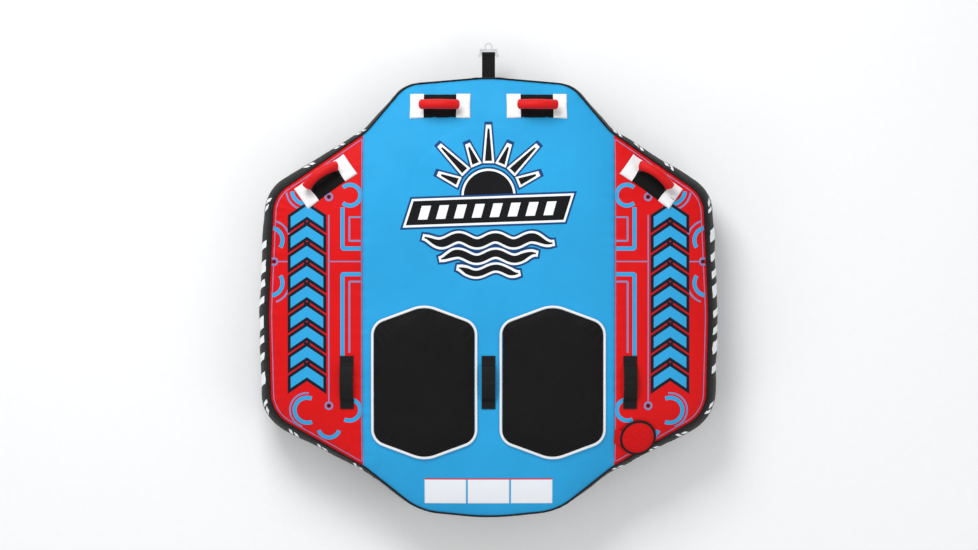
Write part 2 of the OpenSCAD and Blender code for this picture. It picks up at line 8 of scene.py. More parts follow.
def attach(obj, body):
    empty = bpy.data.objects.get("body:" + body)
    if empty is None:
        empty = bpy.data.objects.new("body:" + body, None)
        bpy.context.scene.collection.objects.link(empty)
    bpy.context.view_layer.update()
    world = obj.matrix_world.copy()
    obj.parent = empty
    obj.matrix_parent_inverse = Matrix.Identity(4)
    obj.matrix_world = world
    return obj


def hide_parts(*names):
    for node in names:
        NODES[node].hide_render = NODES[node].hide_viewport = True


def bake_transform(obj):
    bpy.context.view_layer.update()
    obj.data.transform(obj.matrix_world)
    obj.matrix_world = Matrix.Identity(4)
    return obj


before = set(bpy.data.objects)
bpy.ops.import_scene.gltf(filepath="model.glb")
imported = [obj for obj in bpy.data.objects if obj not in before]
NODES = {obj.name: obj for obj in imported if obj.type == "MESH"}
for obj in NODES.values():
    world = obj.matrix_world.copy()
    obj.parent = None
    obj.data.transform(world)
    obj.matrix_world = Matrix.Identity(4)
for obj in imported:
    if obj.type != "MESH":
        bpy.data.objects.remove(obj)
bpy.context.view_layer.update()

# ------------------------------------------------------------------ sizes, in millimetres, as the CAD has them
SEAM_Z, LOW_Z, DECK_RISE, CROWN, ZONE = 255.0, 58.0, 60.0, 15.0, 260.0
B_SIDE, B_END, DSX = 40.0, 8.0, 458.0
CORNERS = [(300, 774, 115), (443, 604, 150), (784, 371, 120), (803, -60, 1200),
           (793, -424, 130), (447, -620, 200), (250, -776, 230)]
BOW_Y, STERN_Y = 800.0, -801.0


def unit(v):
    v = np.asarray(v, float)
    return v / np.linalg.norm(v)


def corner_arc(p, v, n, m):
    p, n, r, v = np.array(p[:2], float), np.array(n[:2], float), float(v[2]), np.array(v[:2], float)
    a, b = unit(p - v), unit(n - v)
    half = math.acos(max(-1, min(1, float(a @ b)))) / 2
    t = r / math.tan(half)
    c = v + unit(a + b) * r / math.sin(half)
    s, f = v + a * t - c, v + b * t - c
    a0 = math.atan2(s[1], s[0])
    sw = math.atan2(f[1], f[0]) - a0
    sw = (sw + math.pi) % (2 * math.pi) - math.pi
    return [c + r * np.array([math.cos(a0 + sw * k / m), math.sin(a0 + sw * k / m)]) for k in range(m + 1)]


def rounded(c, m):
    out = []
    for i in range(len(c)):
        out += corner_arc(c[i - 1], c[i], c[(i + 1) % len(c)], m)
    return np.array(out)


def even(l, n, closed=True):
    q = np.vstack([l, l[:1]]) if closed else np.asarray(l, float)
    s = np.r_[0, np.cumsum(np.linalg.norm(np.diff(q, axis=0), axis=1))]
    t = np.linspace(0, s[-1], n + 1)[:-1] if closed else np.linspace(0, s[-1], n)
    return np.stack([np.interp(t, s, q[:, k]) for k in range(q.shape[1])], 1)


def plan_normals(l):
    d = np.roll(l, -1, 0) - np.roll(l, 1, 0)
    d = d / np.linalg.norm(d, axis=1)[:, None]
    return np.stack([-d[:, 1], d[:, 0]], 1)


_m = 24
_all = [(0, BOW_Y, 700)] + CORNERS + [(0, STERN_Y, 900)] + [(-a, b, r) for a, b, r in CORNERS[::-1]]
PLAN = np.roll(rounded(_all, _m), -_m // 2, 0)
_r = PLAN[PLAN[:, 0] > 0.01]
_bow = np.vstack([[0, PLAN[0, 1]], _r[_r[:, 1] > -60]])
_st = np.vstack([[0, PLAN[:, 1].min()], _r[_r[:, 1] <= -60][::-1]])
_sd = np.vstack([[PLAN[:, 1].min(), 0], _r[::-1][:, ::-1], [PLAN[0, 1], 0]])


def y_bow(x): return np.interp(np.abs(x), _bow[:, 0], _bow[:, 1])
def y_stern(x): return np.interp(np.abs(x), _st[:, 0], _st[:, 1])
def x_side(y): return np.interp(y, _sd[:, 0], _sd[:, 1])
def slant(a, b): return a * b / np.sqrt(a * a + b * b + 1e-9)


def edge_dist(x, y):
    gx = np.maximum(x_side(y) - np.abs(x), 1e-3)
    f = np.maximum(slant(gx, np.maximum(y_bow(x) - y, 1e-3)), 1e-3)
    r = np.maximum(slant(gx, np.maximum(y - y_stern(x), 1e-3)), 1e-3)
    return (f ** -4.0 + r ** -4.0) ** -0.25


def deck0(x, y):
    s = np.clip(edge_dist(x, y) / ZONE, 0, 1)
    p = (1 - (1 - s) ** 2.2) ** 0.8
    return SEAM_Z + p * (DECK_RISE + CROWN * (1 - 0.8 * (x / 800) ** 2) * (1 - 0.8 * (y / 800) ** 2))


def bulge(x): return B_END + (B_SIDE - B_END) * np.clip((np.abs(x) - 150) / 650, 0, 1) ** 1.3
def band_off(v): return np.maximum(1 - (2 * v - 1) ** 2, 0) ** 0.7
def keel_z(e): return LOW_Z * (1 - np.sqrt(np.maximum(1 - 0.92 * e * e, 0))) / (1 - math.sqrt(0.08))


N_RIM = 720
RIM = even(PLAN, N_RIM)
RIM_N = plan_normals(RIM)
RIM_L = float(np.linalg.norm(np.diff(np.vstack([RIM, RIM[:1]]), axis=0), axis=1).sum())
RIM_S = np.arange(N_RIM) * RIM_L / N_RIM


class Ripple:
    """Smooth repeatable noise along a closed line of the given length, with waves between lo and hi mm long."""

    def __init__(self, seed, lo, hi, n=26, length=RIM_L):
        r = np.random.RandomState(seed)
        self.k = 2 * math.pi * np.round(length / r.uniform(lo, hi, n)) / length
        self.p = r.uniform(0, 2 * math.pi, n)
        self.a = r.uniform(0.4, 1.0, n)
        self.a /= math.sqrt((self.a ** 2).sum() / 2)

    def __call__(self, s):
        s = np.asarray(s, float)
        out = np.zeros(s.shape)
        for k, p, a in zip(self.k, self.p, self.a):
            out += a * np.cos(k * s + p)
        return out


class Clouds:
    """Smooth repeatable noise over the plane."""

    def __init__(self, seed, lo, hi, n=24):
        r = np.random.RandomState(seed)
        w, t = 2 * math.pi / r.uniform(lo, hi, n), r.uniform(0, 2 * math.pi, n)
        self.kx, self.ky, self.p = w * np.cos(t), w * np.sin(t), r.uniform(0, 2 * math.pi, n)

    def __call__(self, x, y):
        out = np.zeros(np.broadcast(x, y).shape)
        for a, b, p in zip(self.kx, self.ky, self.p):
            out += np.cos(a * x + b * y + p)
        return out / math.sqrt(len(self.p) / 2)


def rim_s(x, y):
    """Distance along the outline of the nearest outline point."""
    x, y = np.ravel(x), np.ravel(y)
    out = np.empty(len(x))
    for i in range(0, len(x), 4000):
        d = (x[i:i + 4000, None] - RIM[None, :, 0]) ** 2 + (y[i:i + 4000, None] - RIM[None, :, 1]) ** 2
        j = d.argmin(1)
        a, b, c = d[np.arange(len(j)), (j - 1) % N_RIM], d[np.arange(len(j)), j], d[np.arange(len(j)), (j + 1) % N_RIM]
        den = np.where(np.abs(a - 2 * b + c) < 1e-9, 1, a - 2 * b + c)
        out[i:i + 4000] = (j + np.clip(0.5 * (a - c) / den, -0.5, 0.5)) * RIM_L / N_RIM
    return out


rip_edge, rip_wide = Ripple(11, 30, 62), Ripple(12, 90, 210)
rip_seam = Ripple(13, 34, 70, length=1600.0)
cl_big, cl_mid, cl_small = Clouds(21, 260, 520), Clouds(22, 90, 190), Clouds(23, 26, 60)
VX, VY = 543.0, -509.0


def deck(x, y):
    """The visible deck: the CAD crown with seams drawn in, baffle lines, puckers and slack."""
    x, y = np.broadcast_arrays(np.asarray(x, float), np.asarray(y, float))
    shp = x.shape
    x, y = x.ravel(), y.ravel()
    d = edge_dist(x, y)
    z = deck0(x, y)
    s = rim_s(x, y)
    grow = np.clip(d / 10, 0, 1)
    side = np.clip((np.abs(x) - 430) / 60, 0, 1)
    z = z + (0.8 + 1.1 * side) * rip_edge(s) * np.exp(-d / 36) * np.clip(1 - d / 85, 0, 1) ** 1.5 * grow
    z = z + 0.8 * rip_wide(s) * np.exp(-d / 90) * np.clip(1 - d / 130, 0, 1) ** 2 * grow
    fade = np.clip(d / 60, 0, 1)
    u = np.abs(np.abs(x) - DSX)
    z = z - fade * (5.0 * np.exp(-u / 9.0) + 3.4 * np.exp(-(u / 40) ** 2))
    z = z + fade * 0.7 * rip_seam(y + 400 * np.sign(x)) * np.exp(-u / 26)
    z = z - fade * 3.2 * np.exp(-(x / 42) ** 2)
    for b in (-300.0, 300.0, -600.0, 600.0):
        z = z - fade * 1.2 * np.exp(-((x - b) / 40) ** 2)
    r = np.hypot(x, y - 355)
    z = z - fade * 1.5 * np.exp(-((r - 285) / 15) ** 2)
    z = z + fade * (0.9 * cl_big(x, y) + 0.35 * cl_mid(x, y))
    return z.reshape(shp)


# ------------------------------------------------------------------ mesh helpers
def new_mesh(name, pts, faces, fab=None, smooth=True):
    me = bpy.data.meshes.new(name)
    me.from_pydata((np.asarray(pts, float) / 1000.0).tolist(), [], faces if isinstance(faces, list) else faces.tolist())
    me.validate()
    me.update()
    if fab is not None:
        at = me.attributes.new("fab", "FLOAT_VECTOR", "POINT")
        at.data.foreach_set("vector", (np.asarray(fab, float) / 1000.0).ravel().astype(np.float32))
    if smooth:
        me.polygons.foreach_set("use_smooth", [True] * len(me.polygons))
    ob = bpy.data.objects.new(name, me)
    bpy.context.scene.collection.objects.link(ob)
    return ob


def grid_faces(nr, nc, wr=False, wc=False, off=0, flip=False):
    j = np.arange(nr if wr else nr - 1)
    i = np.arange(nc if wc else nc - 1)
    J, I = np.meshgrid(j, i, indexing="ij")
    a = J * nc + I
    b = J * nc + (I + 1) % nc
    c = ((J + 1) % nr) * nc + (I + 1) % nc
    d = ((J + 1) % nr) * nc + I
    f = np.stack([a, b, c, d], -1).reshape(-1, 4) + off
    return f[:, ::-1] if flip else f


def grid_obj(name, P, wr=False, wc=False, fab=None, flip=False):
    P = np.asarray(P, float)
    nr, nc = P.shape[:2]
    return new_mesh(name, P.reshape(-1, 3), grid_faces(nr, nc, wr, wc, 0, flip), None if fab is None else np.asarray(fab).reshape(-1, 3))


def thicken(ob, t, offset=-1.0):
    m = ob.modifiers.new("thick", "SOLIDIFY")
    m.thickness = t / 1000.0
    m.offset = offset
    m.use_even_offset = False
    return ob


def bake_mods(ob):
    bpy.context.view_layer.update()
    dg = bpy.context.evaluated_depsgraph_get()
    me = bpy.data.meshes.new_from_object(ob.evaluated_get(dg), preserve_all_data_layers=True, depsgraph=dg)
    old = ob.data
    ob.modifiers.clear()
    ob.data = me
    me.name = old.name + "_done"
    return ob


def closed_shell(name, top, bot, fab=None, wrap=False, flip=False, hub=False):
    """A closed solid between two grids of the same size (rows by columns). hub closes the last row on a middle point."""
    top, bot = np.asarray(top, float), np.asarray(bot, float)
    nr, nc = top.shape[:2]
    n = nr * nc
    f = [grid_faces(nr, nc, False, wrap, 0, flip), grid_faces(nr, nc, False, wrap, n, not flip)]
    last = nc if wrap else nc - 1
    i = np.arange(last)
    a, b = i, (i + 1) % nc
    q = np.stack([b, a, a + n, b + n], 1)
    f.append(q if not flip else q[:, ::-1])
    a2, b2 = (nr - 1) * nc + i, (nr - 1) * nc + (i + 1) % nc
    if hub:
        fan = np.vstack([np.stack([a2, b2, np.full(last, 2 * n)], 1), np.stack([b2 + n, a2 + n, np.full(last, 2 * n + 1)], 1)])
        pts = np.vstack([top.reshape(-1, 3), bot.reshape(-1, 3), top[-1].mean(0)[None], bot[-1].mean(0)[None]])
        fb = pts if fab is None else np.vstack([np.asarray(fab).reshape(-1, 3)] * 2 + [np.asarray(fab)[-1].mean(0)[None]] * 2)
        ob = new_mesh(name, pts, np.vstack(f).tolist() + fan.tolist(), fb)
        fix_normals(ob)
        return ob
    q = np.stack([a2, b2, b2 + n, a2 + n], 1)
    f.append(q if not flip else q[:, ::-1])
    if not wrap:
        j = np.arange(nr - 1)
        a, b = j * nc, (j + 1) * nc
        q = np.stack([a, b, b + n, a + n], 1)
        f.append(q if not flip else q[:, ::-1])
        a, b = j * nc + nc - 1, (j + 1) * nc + nc - 1
        q = np.stack([b, a, a + n, b + n], 1)
        f.append(q if not flip else q[:, ::-1])
    pts = np.vstack([top.reshape(-1, 3), bot.reshape(-1, 3)])
    fb = None if fab is None else np.vstack([np.asarray(fab).reshape(-1, 3)] * 2)
    return new_mesh(name, pts, np.vstack(f), fb)


def join(name, obs):
    """One object from several, keeping the attribute."""
    P, F, A, n, mats, mi = [], [], [], 0, [], []
    for o in obs:
        me = o.data
        v = np.empty(len(me.vertices) * 3)
        me.vertices.foreach_get("co", v)
        v = v.reshape(-1, 3)
        at = me.attributes.get("fab")
        a = np.zeros((len(v), 3), np.float32)
        if at:
            at.data.foreach_get("vector", a.ravel()) if False else None
            buf = np.empty(len(v) * 3, np.float32)
            at.data.foreach_get("vector", buf)
            a = buf.reshape(-1, 3)
        F += [[i + n for i in p.vertices] for p in me.polygons]
        P.append(v)
        A.append(a)
        n += len(v)
        bpy.data.objects.remove(o)
    return new_mesh(name, np.vstack(P) * 1000, F, np.vstack(A) * 1000)


def tube_obj(name, path, r, m=10, closed=True, flat=1.0, up=None, fab=True, wob=None):
    """A cord along a path (mm). flat squashes it along its up direction."""
    path = np.asarray(path, float)
    n = len(path)
    if closed:
        t = np.roll(path, -1, 0) - np.roll(path, 1, 0)
    else:
        t = np.gradient(path, axis=0)
    t /= np.linalg.norm(t, axis=1)[:, None]
    up = np.tile([0, 0, 1.0], (n, 1)) if up is None else np.asarray(up, float)
    side = np.cross(t, up)
    side /= np.linalg.norm(side, axis=1)[:, None]
    upv = np.cross(side, t)
    a = np.arange(m) * 2 * math.pi / m
    rr = np.full(n, float(r)) if np.isscalar(r) else np.asarray(r, float)
    P = path[:, None] + rr[:, None, None] * (np.cos(a)[None, :, None] * side[:, None] + flat * np.sin(a)[None, :, None] * upv[:, None])
    s = np.r_[0, np.cumsum(np.linalg.norm(np.diff(path, axis=0), axis=1))]
    F = np.zeros((n, m, 3))
    F[..., 0] = s[:, None]
    F[..., 1] = (a / (2 * math.pi))[None] * 2 * math.pi * float(np.mean(rr))
    ob = grid_obj(name, P, closed, True, F, flip=True)
    if not closed:
        bm = bmesh.new()
        bm.from_mesh(ob.data)
        bm.verts.ensure_lookup_table()
        bm.faces.new([bm.verts[i] for i in range(m)][::1])
        bm.faces.new([bm.verts[(n - 1) * m + i] for i in range(m)][::-1])
        bmesh.ops.recalc_face_normals(bm, faces=bm.faces)
        bm.to_mesh(ob.data)
        bm.free()
    return ob


STITCH = {}


def stitches(key, path, pitch=5.0, length=3.4, r=0.5, lift=0.15, closed=False, up=None):
    """Adds a row of thread stitches along a path, to be built as one piece per key."""
    path = np.asarray(path, float)
    if closed:
        path = np.vstack([path, path[:1]])
        up = None if up is None else np.vstack([up, up[:1]])
    s = np.r_[0, np.cumsum(np.linalg.norm(np.diff(path, axis=0), axis=1))]
    n = max(int(s[-1] / pitch), 1)
    t = (np.arange(n) + 0.5) * s[-1] / n
    a = np.stack([np.interp(t - length / 2, s, path[:, k]) for k in range(3)], 1)
    b = np.stack([np.interp(t + length / 2, s, path[:, k]) for k in range(3)], 1)
    u = np.tile([0, 0, 1.0], (n, 1)) if up is None else np.stack([np.interp(t, s, np.asarray(up)[:, k]) for k in range(3)], 1)
    STITCH.setdefault(key, []).append((a, b, u, r, lift))


def build_stitches(key, name):
    P, F, A = [], [], []
    n0 = 0
    for a, b, u, r, lift in STITCH.pop(key, []):
        d = b - a
        L = np.linalg.norm(d, axis=1)[:, None]
        ok = L[:, 0] > 0.3
        a, b, u, d, L = a[ok], b[ok], u[ok], d[ok], L[ok]
        d = d / L
        w = np.cross(d, u)
        w /= np.linalg.norm(w, axis=1)[:, None]
        u = np.cross(w, d)
        ang = np.arange(6) * math.pi / 3
        c, s = np.cos(ang), np.sin(ang)
        rings = []
        for f, rr, h in ((0.12, 0.75, -0.35), (0.5, 1.0, 0.25), (0.88, 0.75, -0.35)):
            o = a + d * L * f + u * (lift + r * h)
            rings.append(o[:, None] + r * rr * (c[None, :, None] * w[:, None] + s[None, :, None] * u[:, None]))
        e0, e1 = a + u * (lift - r), b + u * (lift - r)
        V = np.concatenate([e0[:, None]] + rings + [e1[:, None]], 1)  # 1 + 18 + 1
        k = len(V)
        f = []
        for i in range(6):
            j = (i + 1) % 6
            f.append([0, 1 + i, 1 + j, 1 + j])
            f.append([1 + i, 7 + i, 7 + j, 1 + j])
            f.append([7 + i, 13 + i, 13 + j, 7 + j])
            f.append([13 + i, 19, 13 + j, 13 + j])
        f = np.array(f)
        ff = (f[None] + (np.arange(k) * 20)[:, None, None]).reshape(-1, 4) + n0
        F += [list(dict.fromkeys(q)) for q in ff.tolist()]
        P.append(V.reshape(-1, 3))
        n0 += k * 20
    pts = np.vstack(P)
    ob = new_mesh(name, pts, F, pts)
    bm = bmesh.new()
    bm.from_mesh(ob.data)
    bmesh.ops.recalc_face_normals(bm, faces=bm.faces)
    bm.to_mesh(ob.data)
    bm.free()
    return ob


# ------------------------------------------------------------------ materials
def lin(r, g, b):
    return tuple(((c / 255) / 12.92 if c / 255 <= 0.04045 else ((c / 255 + 0.055) / 1.055) ** 2.4) for c in (r, g, b)) + (1.0,)


class Nodes:
    def __init__(self, name):
        self.m = bpy.data.materials.new(name)
        self.m.use_nodes = True
        self.t = self.m.node_tree
        self.b = self.t.nodes["Principled BSDF"]

    def n(self, kind, **kw):
        x = self.t.nodes.new(kind)
        for k, v in kw.items():
            setattr(x, k, v)
        return x

    def put(self, node, key, val):
        if isinstance(val, bpy.types.NodeSocket):
            self.t.links.new(val, node.inputs[key])
        else:
            node.inputs[key].default_value = val

    def math(self, op, a, b=0.0, c=0.0):
        x = self.n("ShaderNodeMath", operation=op)
        for i, v in enumerate((a, b, c)):
            self.put(x, i, v)
        return x.outputs[0]

    def mix(self, f, a, b, blend="MIX"):
        x = self.n("ShaderNodeMix", data_type="RGBA", blend_type=blend)
        self.put(x, 0, f)
        self.put(x, 6, a)
        self.put(x, 7, b)
        return x.outputs[2]

    def noise(self, vec, scale, detail=2.0, rough=0.5, dist=0.0):
        x = self.n("ShaderNodeTexNoise")
        self.put(x, "Vector", vec)
        self.put(x, "Scale", scale)
        self.put(x, "Detail", detail)
        self.put(x, "Roughness", rough)
        self.put(x, "Distortion", dist)
        return x.outputs["Fac"]

    def ramp(self, f, lo, hi, a=0.0, b=1.0):
        x = self.n("ShaderNodeMapRange")
        x.clamp = True
        self.put(x, "Value", f)
        self.put(x, "From Min", lo)
        self.put(x, "From Max", hi)
        self.put(x, "To Min", a)
        self.put(x, "To Max", b)
        return x.outputs["Result"]

    def coords(self, fab):
        if fab:
            a = self.n("ShaderNodeAttribute", attribute_name="fab")
            v = a.outputs["Vector"]
        else:
            v = self.n("ShaderNodeTexCoord").outputs["Object"]
        s = self.n("ShaderNodeSeparateXYZ")
        self.put(s, 0, v)
        return v, s.outputs[0], s.outputs[1], s.outputs[2]

    def bump(self, h, strength, dist, normal=None):
        x = self.n("ShaderNodeBump")
        self.put(x, "Height", h)
        self.put(x, "Strength", strength)
        self.put(x, "Distance", dist)
        if normal is not None:
            self.put(x, "Normal", normal)
        return x.outputs[0]


def weave_height(q, x, y, p):
    """Plain weave: threads of pitch p (m) pass over and under in turn."""
    k = math.pi / p
    a = q.math("SINE", q.math("MULTIPLY", x, k))
    b = q.math("SINE", q.math("MULTIPLY", y, k))
    over = q.math("MULTIPLY", a, b)
    a2 = q.math("ABSOLUTE", q.math("SINE", q.math("MULTIPLY", x, k)))
    b2 = q.math("ABSOLUTE", q.math("SINE", q.math("MULTIPLY", y, k)))
    up = q.math("MULTIPLY", q.math("GREATER_THAN", over, 0.0), a2)
    dn = q.math("MULTIPLY", q.math("LESS_THAN", over, 0.0), b2)
    return q.math("ADD", up, dn)


def cloth_mat(name, rgb, kind="weave", fab=True, pitch=0.0011, rough=0.58, bump=0.3, sheen=0.12, vary=0.10, coat=0.0, wear=0.12, dark=None, spec=0.4, hue2=None):
    q = Nodes(name)
    v, x, y, z = q.coords(fab)
    obj = q.n("ShaderNodeTexCoord").outputs["Object"]
    base = lin(*rgb)
    big = q.noise(obj, 3.2, 3.0, 0.55)
    mid = q.noise(obj, 34.0, 4.0, 0.6)
    d = 1.0 - vary
    lo = tuple(c * d for c in base[:3]) + (1,)
    hi = tuple(min(1, c * (1 + vary * 0.6) + 0.004 * vary) for c in base[:3]) + (1,)
    col = q.mix(q.ramp(big, 0.3, 0.7), lo, hi)
    col = q.mix(q.ramp(mid, 0.42, 0.75, 0.0, 0.35), col, lo)
    if kind == "weave":
        h = weave_height(q, x, y, pitch)
        thread = q.noise(obj, 900.0, 1.0)
        h = q.math("ADD", h, q.math("MULTIPLY", thread, 0.35))
        depth = pitch * 0.32
    elif kind == "rib":     # webbing: ribs across, herringbone threads
        saw = q.math("PINGPONG", q.math("ADD", y, q.math("MULTIPLY", q.math("PINGPONG", x, pitch * 1.5), 0.55)), pitch)
        h = q.math("DIVIDE", saw, pitch)
        cross = q.math("ABSOLUTE", q.math("SINE", q.math("MULTIPLY", x, math.pi / (pitch * 0.8))))
        h = q.math("ADD", q.math("MULTIPLY", h, 0.65), q.math("MULTIPLY", cross, 0.5))
        depth = pitch * 0.3
    elif kind == "foam":    # closed cell sheet: pebbled skin with tiny dimples
        vo = q.n("ShaderNodeTexVoronoi", feature="F1")
        q.put(vo, "Vector", obj)
        q.put(vo, "Scale", 1.0 / pitch)
        h = q.math("SUBTRACT", 1.0, q.ramp(vo.outputs["Distance"], 0.0, 0.75))
        h = q.math("ADD", q.math("MULTIPLY", h, 0.8), q.math("MULTIPLY", q.noise(obj, 1400.0, 2.0), 0.35))
        depth = pitch * 0.14
    elif kind == "knit":
        a = q.math("SINE", q.math("MULTIPLY", x, 2 * math.pi / pitch))
        b = q.math("ABSOLUTE", q.math("SINE", q.math("ADD", q.math("MULTIPLY", y, math.pi / pitch), q.math("MULTIPLY", a, 0.8))))
        h = q.math("ADD", b, q.math("MULTIPLY", q.noise(obj, 1200.0, 1.0), 0.4))
        depth = pitch * 0.2
    else:                   # smooth vinyl with a fine grain
        vo = q.n("ShaderNodeTexVoronoi", feature="DISTANCE_TO_EDGE")
        q.put(vo, "Vector", obj)
        q.put(vo, "Scale", 1.0 / pitch)
        h = q.math("ADD", q.ramp(vo.outputs["Distance"], 0.0, 0.2), q.math("MULTIPLY", q.noise(obj, 500.0, 2.0), 0.3))
        depth = pitch * 0.08
    # Painted shade: the base colour is darkened in the low points of the weave, rib, foam or grain pattern and lifted
    # slightly on its high points (a small painted highlight).
    shade = q.ramp(h, 0.15, 0.95, 0.84 if kind != "vinyl" else 0.95, 1.03)
    gr = q.n("ShaderNodeCombineColor")
    for i in range(3):
        q.put(gr, i, shade)
    col = q.mix(1.0, col, gr.outputs[0], "MULTIPLY")
    if wear:
        geo = q.n("ShaderNodeNewGeometry")
        ed = q.ramp(geo.outputs["Pointiness"], 0.505, 0.56, 0.0, wear)
        ed = q.math("MULTIPLY", ed, q.ramp(q.noise(obj, 160.0, 3.0), 0.4, 0.62))
        pale = tuple(min(1, c * 0.75 + 0.16) for c in base[:3]) + (1,)
        col = q.mix(ed, col, pale)
    q.put(q.b, "Base Color", col)
    rg = q.math("ADD", q.math("MULTIPLY", q.noise(obj, 60.0, 3.0), 0.16), rough - 0.08)
    q.put(q.b, "Roughness", rg)
    q.put(q.b, "Specular IOR Level", spec)
    q.put(q.b, "Sheen Weight", sheen)
    q.put(q.b, "Sheen Roughness", 0.45)
    q.put(q.b, "Coat Weight", coat)
    slack = q.bump(q.noise(obj, 26.0, 3.0, 0.5), 0.25, 0.0015)
    q.put(q.b, "Normal", q.bump(h, bump, depth, slack))
    return q.m


def hard_mat(name, rgb, rough=0.4, metal=0.0, grain=900.0, bump=0.08, scratch=0.0, vary=0.06, spec=0.5):
    q = Nodes(name)
    v, x, y, z = q.coords(False)
    base = lin(*rgb)
    lo = tuple(c * (1 - vary) for c in base[:3]) + (1,)
    hi = tuple(min(1, c * (1 + vary)) for c in base[:3]) + (1,)
    col = q.mix(q.ramp(q.noise(v, 40.0, 3.0), 0.35, 0.65), lo, hi)
    geo = q.n("ShaderNodeNewGeometry")
    ed = q.math("MULTIPLY", q.ramp(geo.outputs["Pointiness"], 0.51, 0.6, 0.0, 0.5), q.ramp(q.noise(v, 300.0, 2.0), 0.35, 0.65))
    col = q.mix(ed, col, tuple(min(1, c * 1.25 + 0.05) for c in base[:3]) + (1,))
    q.put(q.b, "Base Color", col)
    q.put(q.b, "Metallic", metal)
    q.put(q.b, "Specular IOR Level", spec)
    rg = q.math("ADD", q.math("MULTIPLY", q.noise(v, 220.0, 4.0), 0.18), rough - 0.09)
    q.put(q.b, "Roughness", rg)
    h = q.noise(v, grain, 3.0)
    if scratch:
        mp = q.n("ShaderNodeMapping")
        q.put(mp, 0, v)
        mp.inputs["Scale"].default_value = (1.0, 14.0, 14.0)
        h = q.math("ADD", h, q.math("MULTIPLY", q.noise(mp.outputs[0], 260.0, 3.0), scratch))
    q.put(q.b, "Normal", q.bump(h, bump, 0.0002))
    return q.m


M = {
    "blue": cloth_mat("cover_blue_nylon", (40, 163, 222), rough=0.56, vary=0.07, spec=0.16, sheen=0.03),
    "red": cloth_mat("cover_red_nylon", (218, 9, 13), rough=0.56, vary=0.08, spec=0.16, sheen=0.02),
    "black": cloth_mat("cover_black_nylon", (17, 16, 17), rough=0.6, vary=0.2, bump=0.35, spec=0.2, sheen=0.03),
    "under": cloth_mat("cover_under_nylon", (26, 26, 28), rough=0.62, vary=0.25, pitch=0.0014, bump=0.4, wear=0.25),
    "bind": cloth_mat("binding_tape", (17, 16, 18), kind="rib", pitch=0.0011, rough=0.68, vary=0.2, wear=0.06, spec=0.2, sheen=0.03),
    "pad": cloth_mat("pad_foam", (11, 10, 12), kind="foam", fab=False, pitch=0.0026, rough=0.72, sheen=0.02, vary=0.22, bump=0.6, wear=0.05, spec=0.18),
    "guard": cloth_mat("guard_neoprene", (12, 11, 12), kind="knit", fab=False, pitch=0.0012, rough=0.74, sheen=0.03, vary=0.2, wear=0.05, spec=0.16),
    "white": cloth_mat("patch_white_nylon", (240, 240, 242), rough=0.6, vary=0.04, wear=0.0),
    "pipe": cloth_mat("piping_white", (238, 240, 243), kind="rib", pitch=0.0010, rough=0.6, vary=0.04, wear=0.0),
    "web": cloth_mat("webbing_black", (12, 11, 11), kind="rib", pitch=0.0016, rough=0.66, vary=0.18, bump=0.6, wear=0.08, spec=0.22, sheen=0.03),
    "grip": cloth_mat("grip_red_nylon", (216, 10, 14), rough=0.5, vary=0.08, pitch=0.0012, bump=0.35, spec=0.22, sheen=0.03),
    "flap": cloth_mat("flap_red_nylon", (212, 4, 10), rough=0.56, vary=0.08, spec=0.16, sheen=0.02),
    "label": cloth_mat("label_vinyl", (236, 240, 246), kind="vinyl", pitch=0.0016, rough=0.4, vary=0.03, wear=0.0, sheen=0.0),
    "p_light": cloth_mat("print_light_blue", (44, 164, 222), rough=0.5, vary=0.05, sheen=0.02, wear=0.0, spec=0.2),
    # Soft blue print colour of the scrollwork, also used for the painted highlight lines beside the side panels' seams.
    "p_thin": cloth_mat("print_soft_blue_and_seam_highlight", (118, 138, 190), rough=0.5, vary=0.05, sheen=0.02, wear=0.0, spec=0.2),
    "p_dark": cloth_mat("print_dark", (15, 22, 38), rough=0.5, vary=0.1, sheen=0.02, wear=0.0, spec=0.16),
    "p_navy": cloth_mat("print_navy", (14, 66, 122), rough=0.5, vary=0.06, sheen=0.02, wear=0.0, spec=0.16),
    "p_white": cloth_mat("print_white", (244, 247, 250), rough=0.5, vary=0.03, sheen=0.05, wear=0.0),
    "p_black": cloth_mat("print_black", (15, 15, 20), rough=0.5, vary=0.1, sheen=0.02, wear=0.0, spec=0.14),
    "th_black": cloth_mat("thread_black", (22, 21, 22), kind="rib", pitch=0.0005, rough=0.5, vary=0.1, wear=0.0),
    "th_blue": cloth_mat("thread_blue", (30, 128, 190), kind="rib", pitch=0.0005, rough=0.5, vary=0.1, wear=0.0),
    "th_red": cloth_mat("thread_red", (170, 14, 18), kind="rib", pitch=0.0005, rough=0.5, vary=0.1, wear=0.0),
    "th_white": cloth_mat("thread_white", (226, 226, 228), kind="rib", pitch=0.0005, rough=0.5, vary=0.05, wear=0.0),
    "alloy": hard_mat("fitting_alloy", (214, 216, 220), rough=0.36, metal=0.75, scratch=0.6, bump=0.12),
    "valve_w": hard_mat("valve_white_plastic", (214, 216, 219), rough=0.38),
    "valve_b": hard_mat("valve_black_plastic", (26, 26, 28), rough=0.5, bump=0.14),
    "rubber": hard_mat("seal_rubber", (150, 26, 28), rough=0.7, bump=0.2),
    "film": hard_mat("bladder_film", (150, 160, 172), rough=0.35, bump=0.2, grain=120.0),
    "steel": hard_mat("slider_steel", (190, 192, 196), rough=0.32, metal=1.0, scratch=0.8),
    "coil": hard_mat("zip_coil", (70, 72, 76), rough=0.5),
    "floor": hard_mat("floor_pale", (246, 247, 248), rough=0.85, vary=0.005, bump=0.02, spec=0.15),
}


def piece(ob, body, mat, slot, *nodes):
    ob.data.materials.clear()
    ob.data.materials.append(M[mat])
    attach(ob, body)
    if nodes:
        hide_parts(*nodes)
    return ob


# ------------------------------------------------------------------ cover
def mixcos(n, k):
    t = np.linspace(0, 1, n)
    return k * (0.5 - 0.5 * np.cos(math.pi * t)) + (1 - k) * t


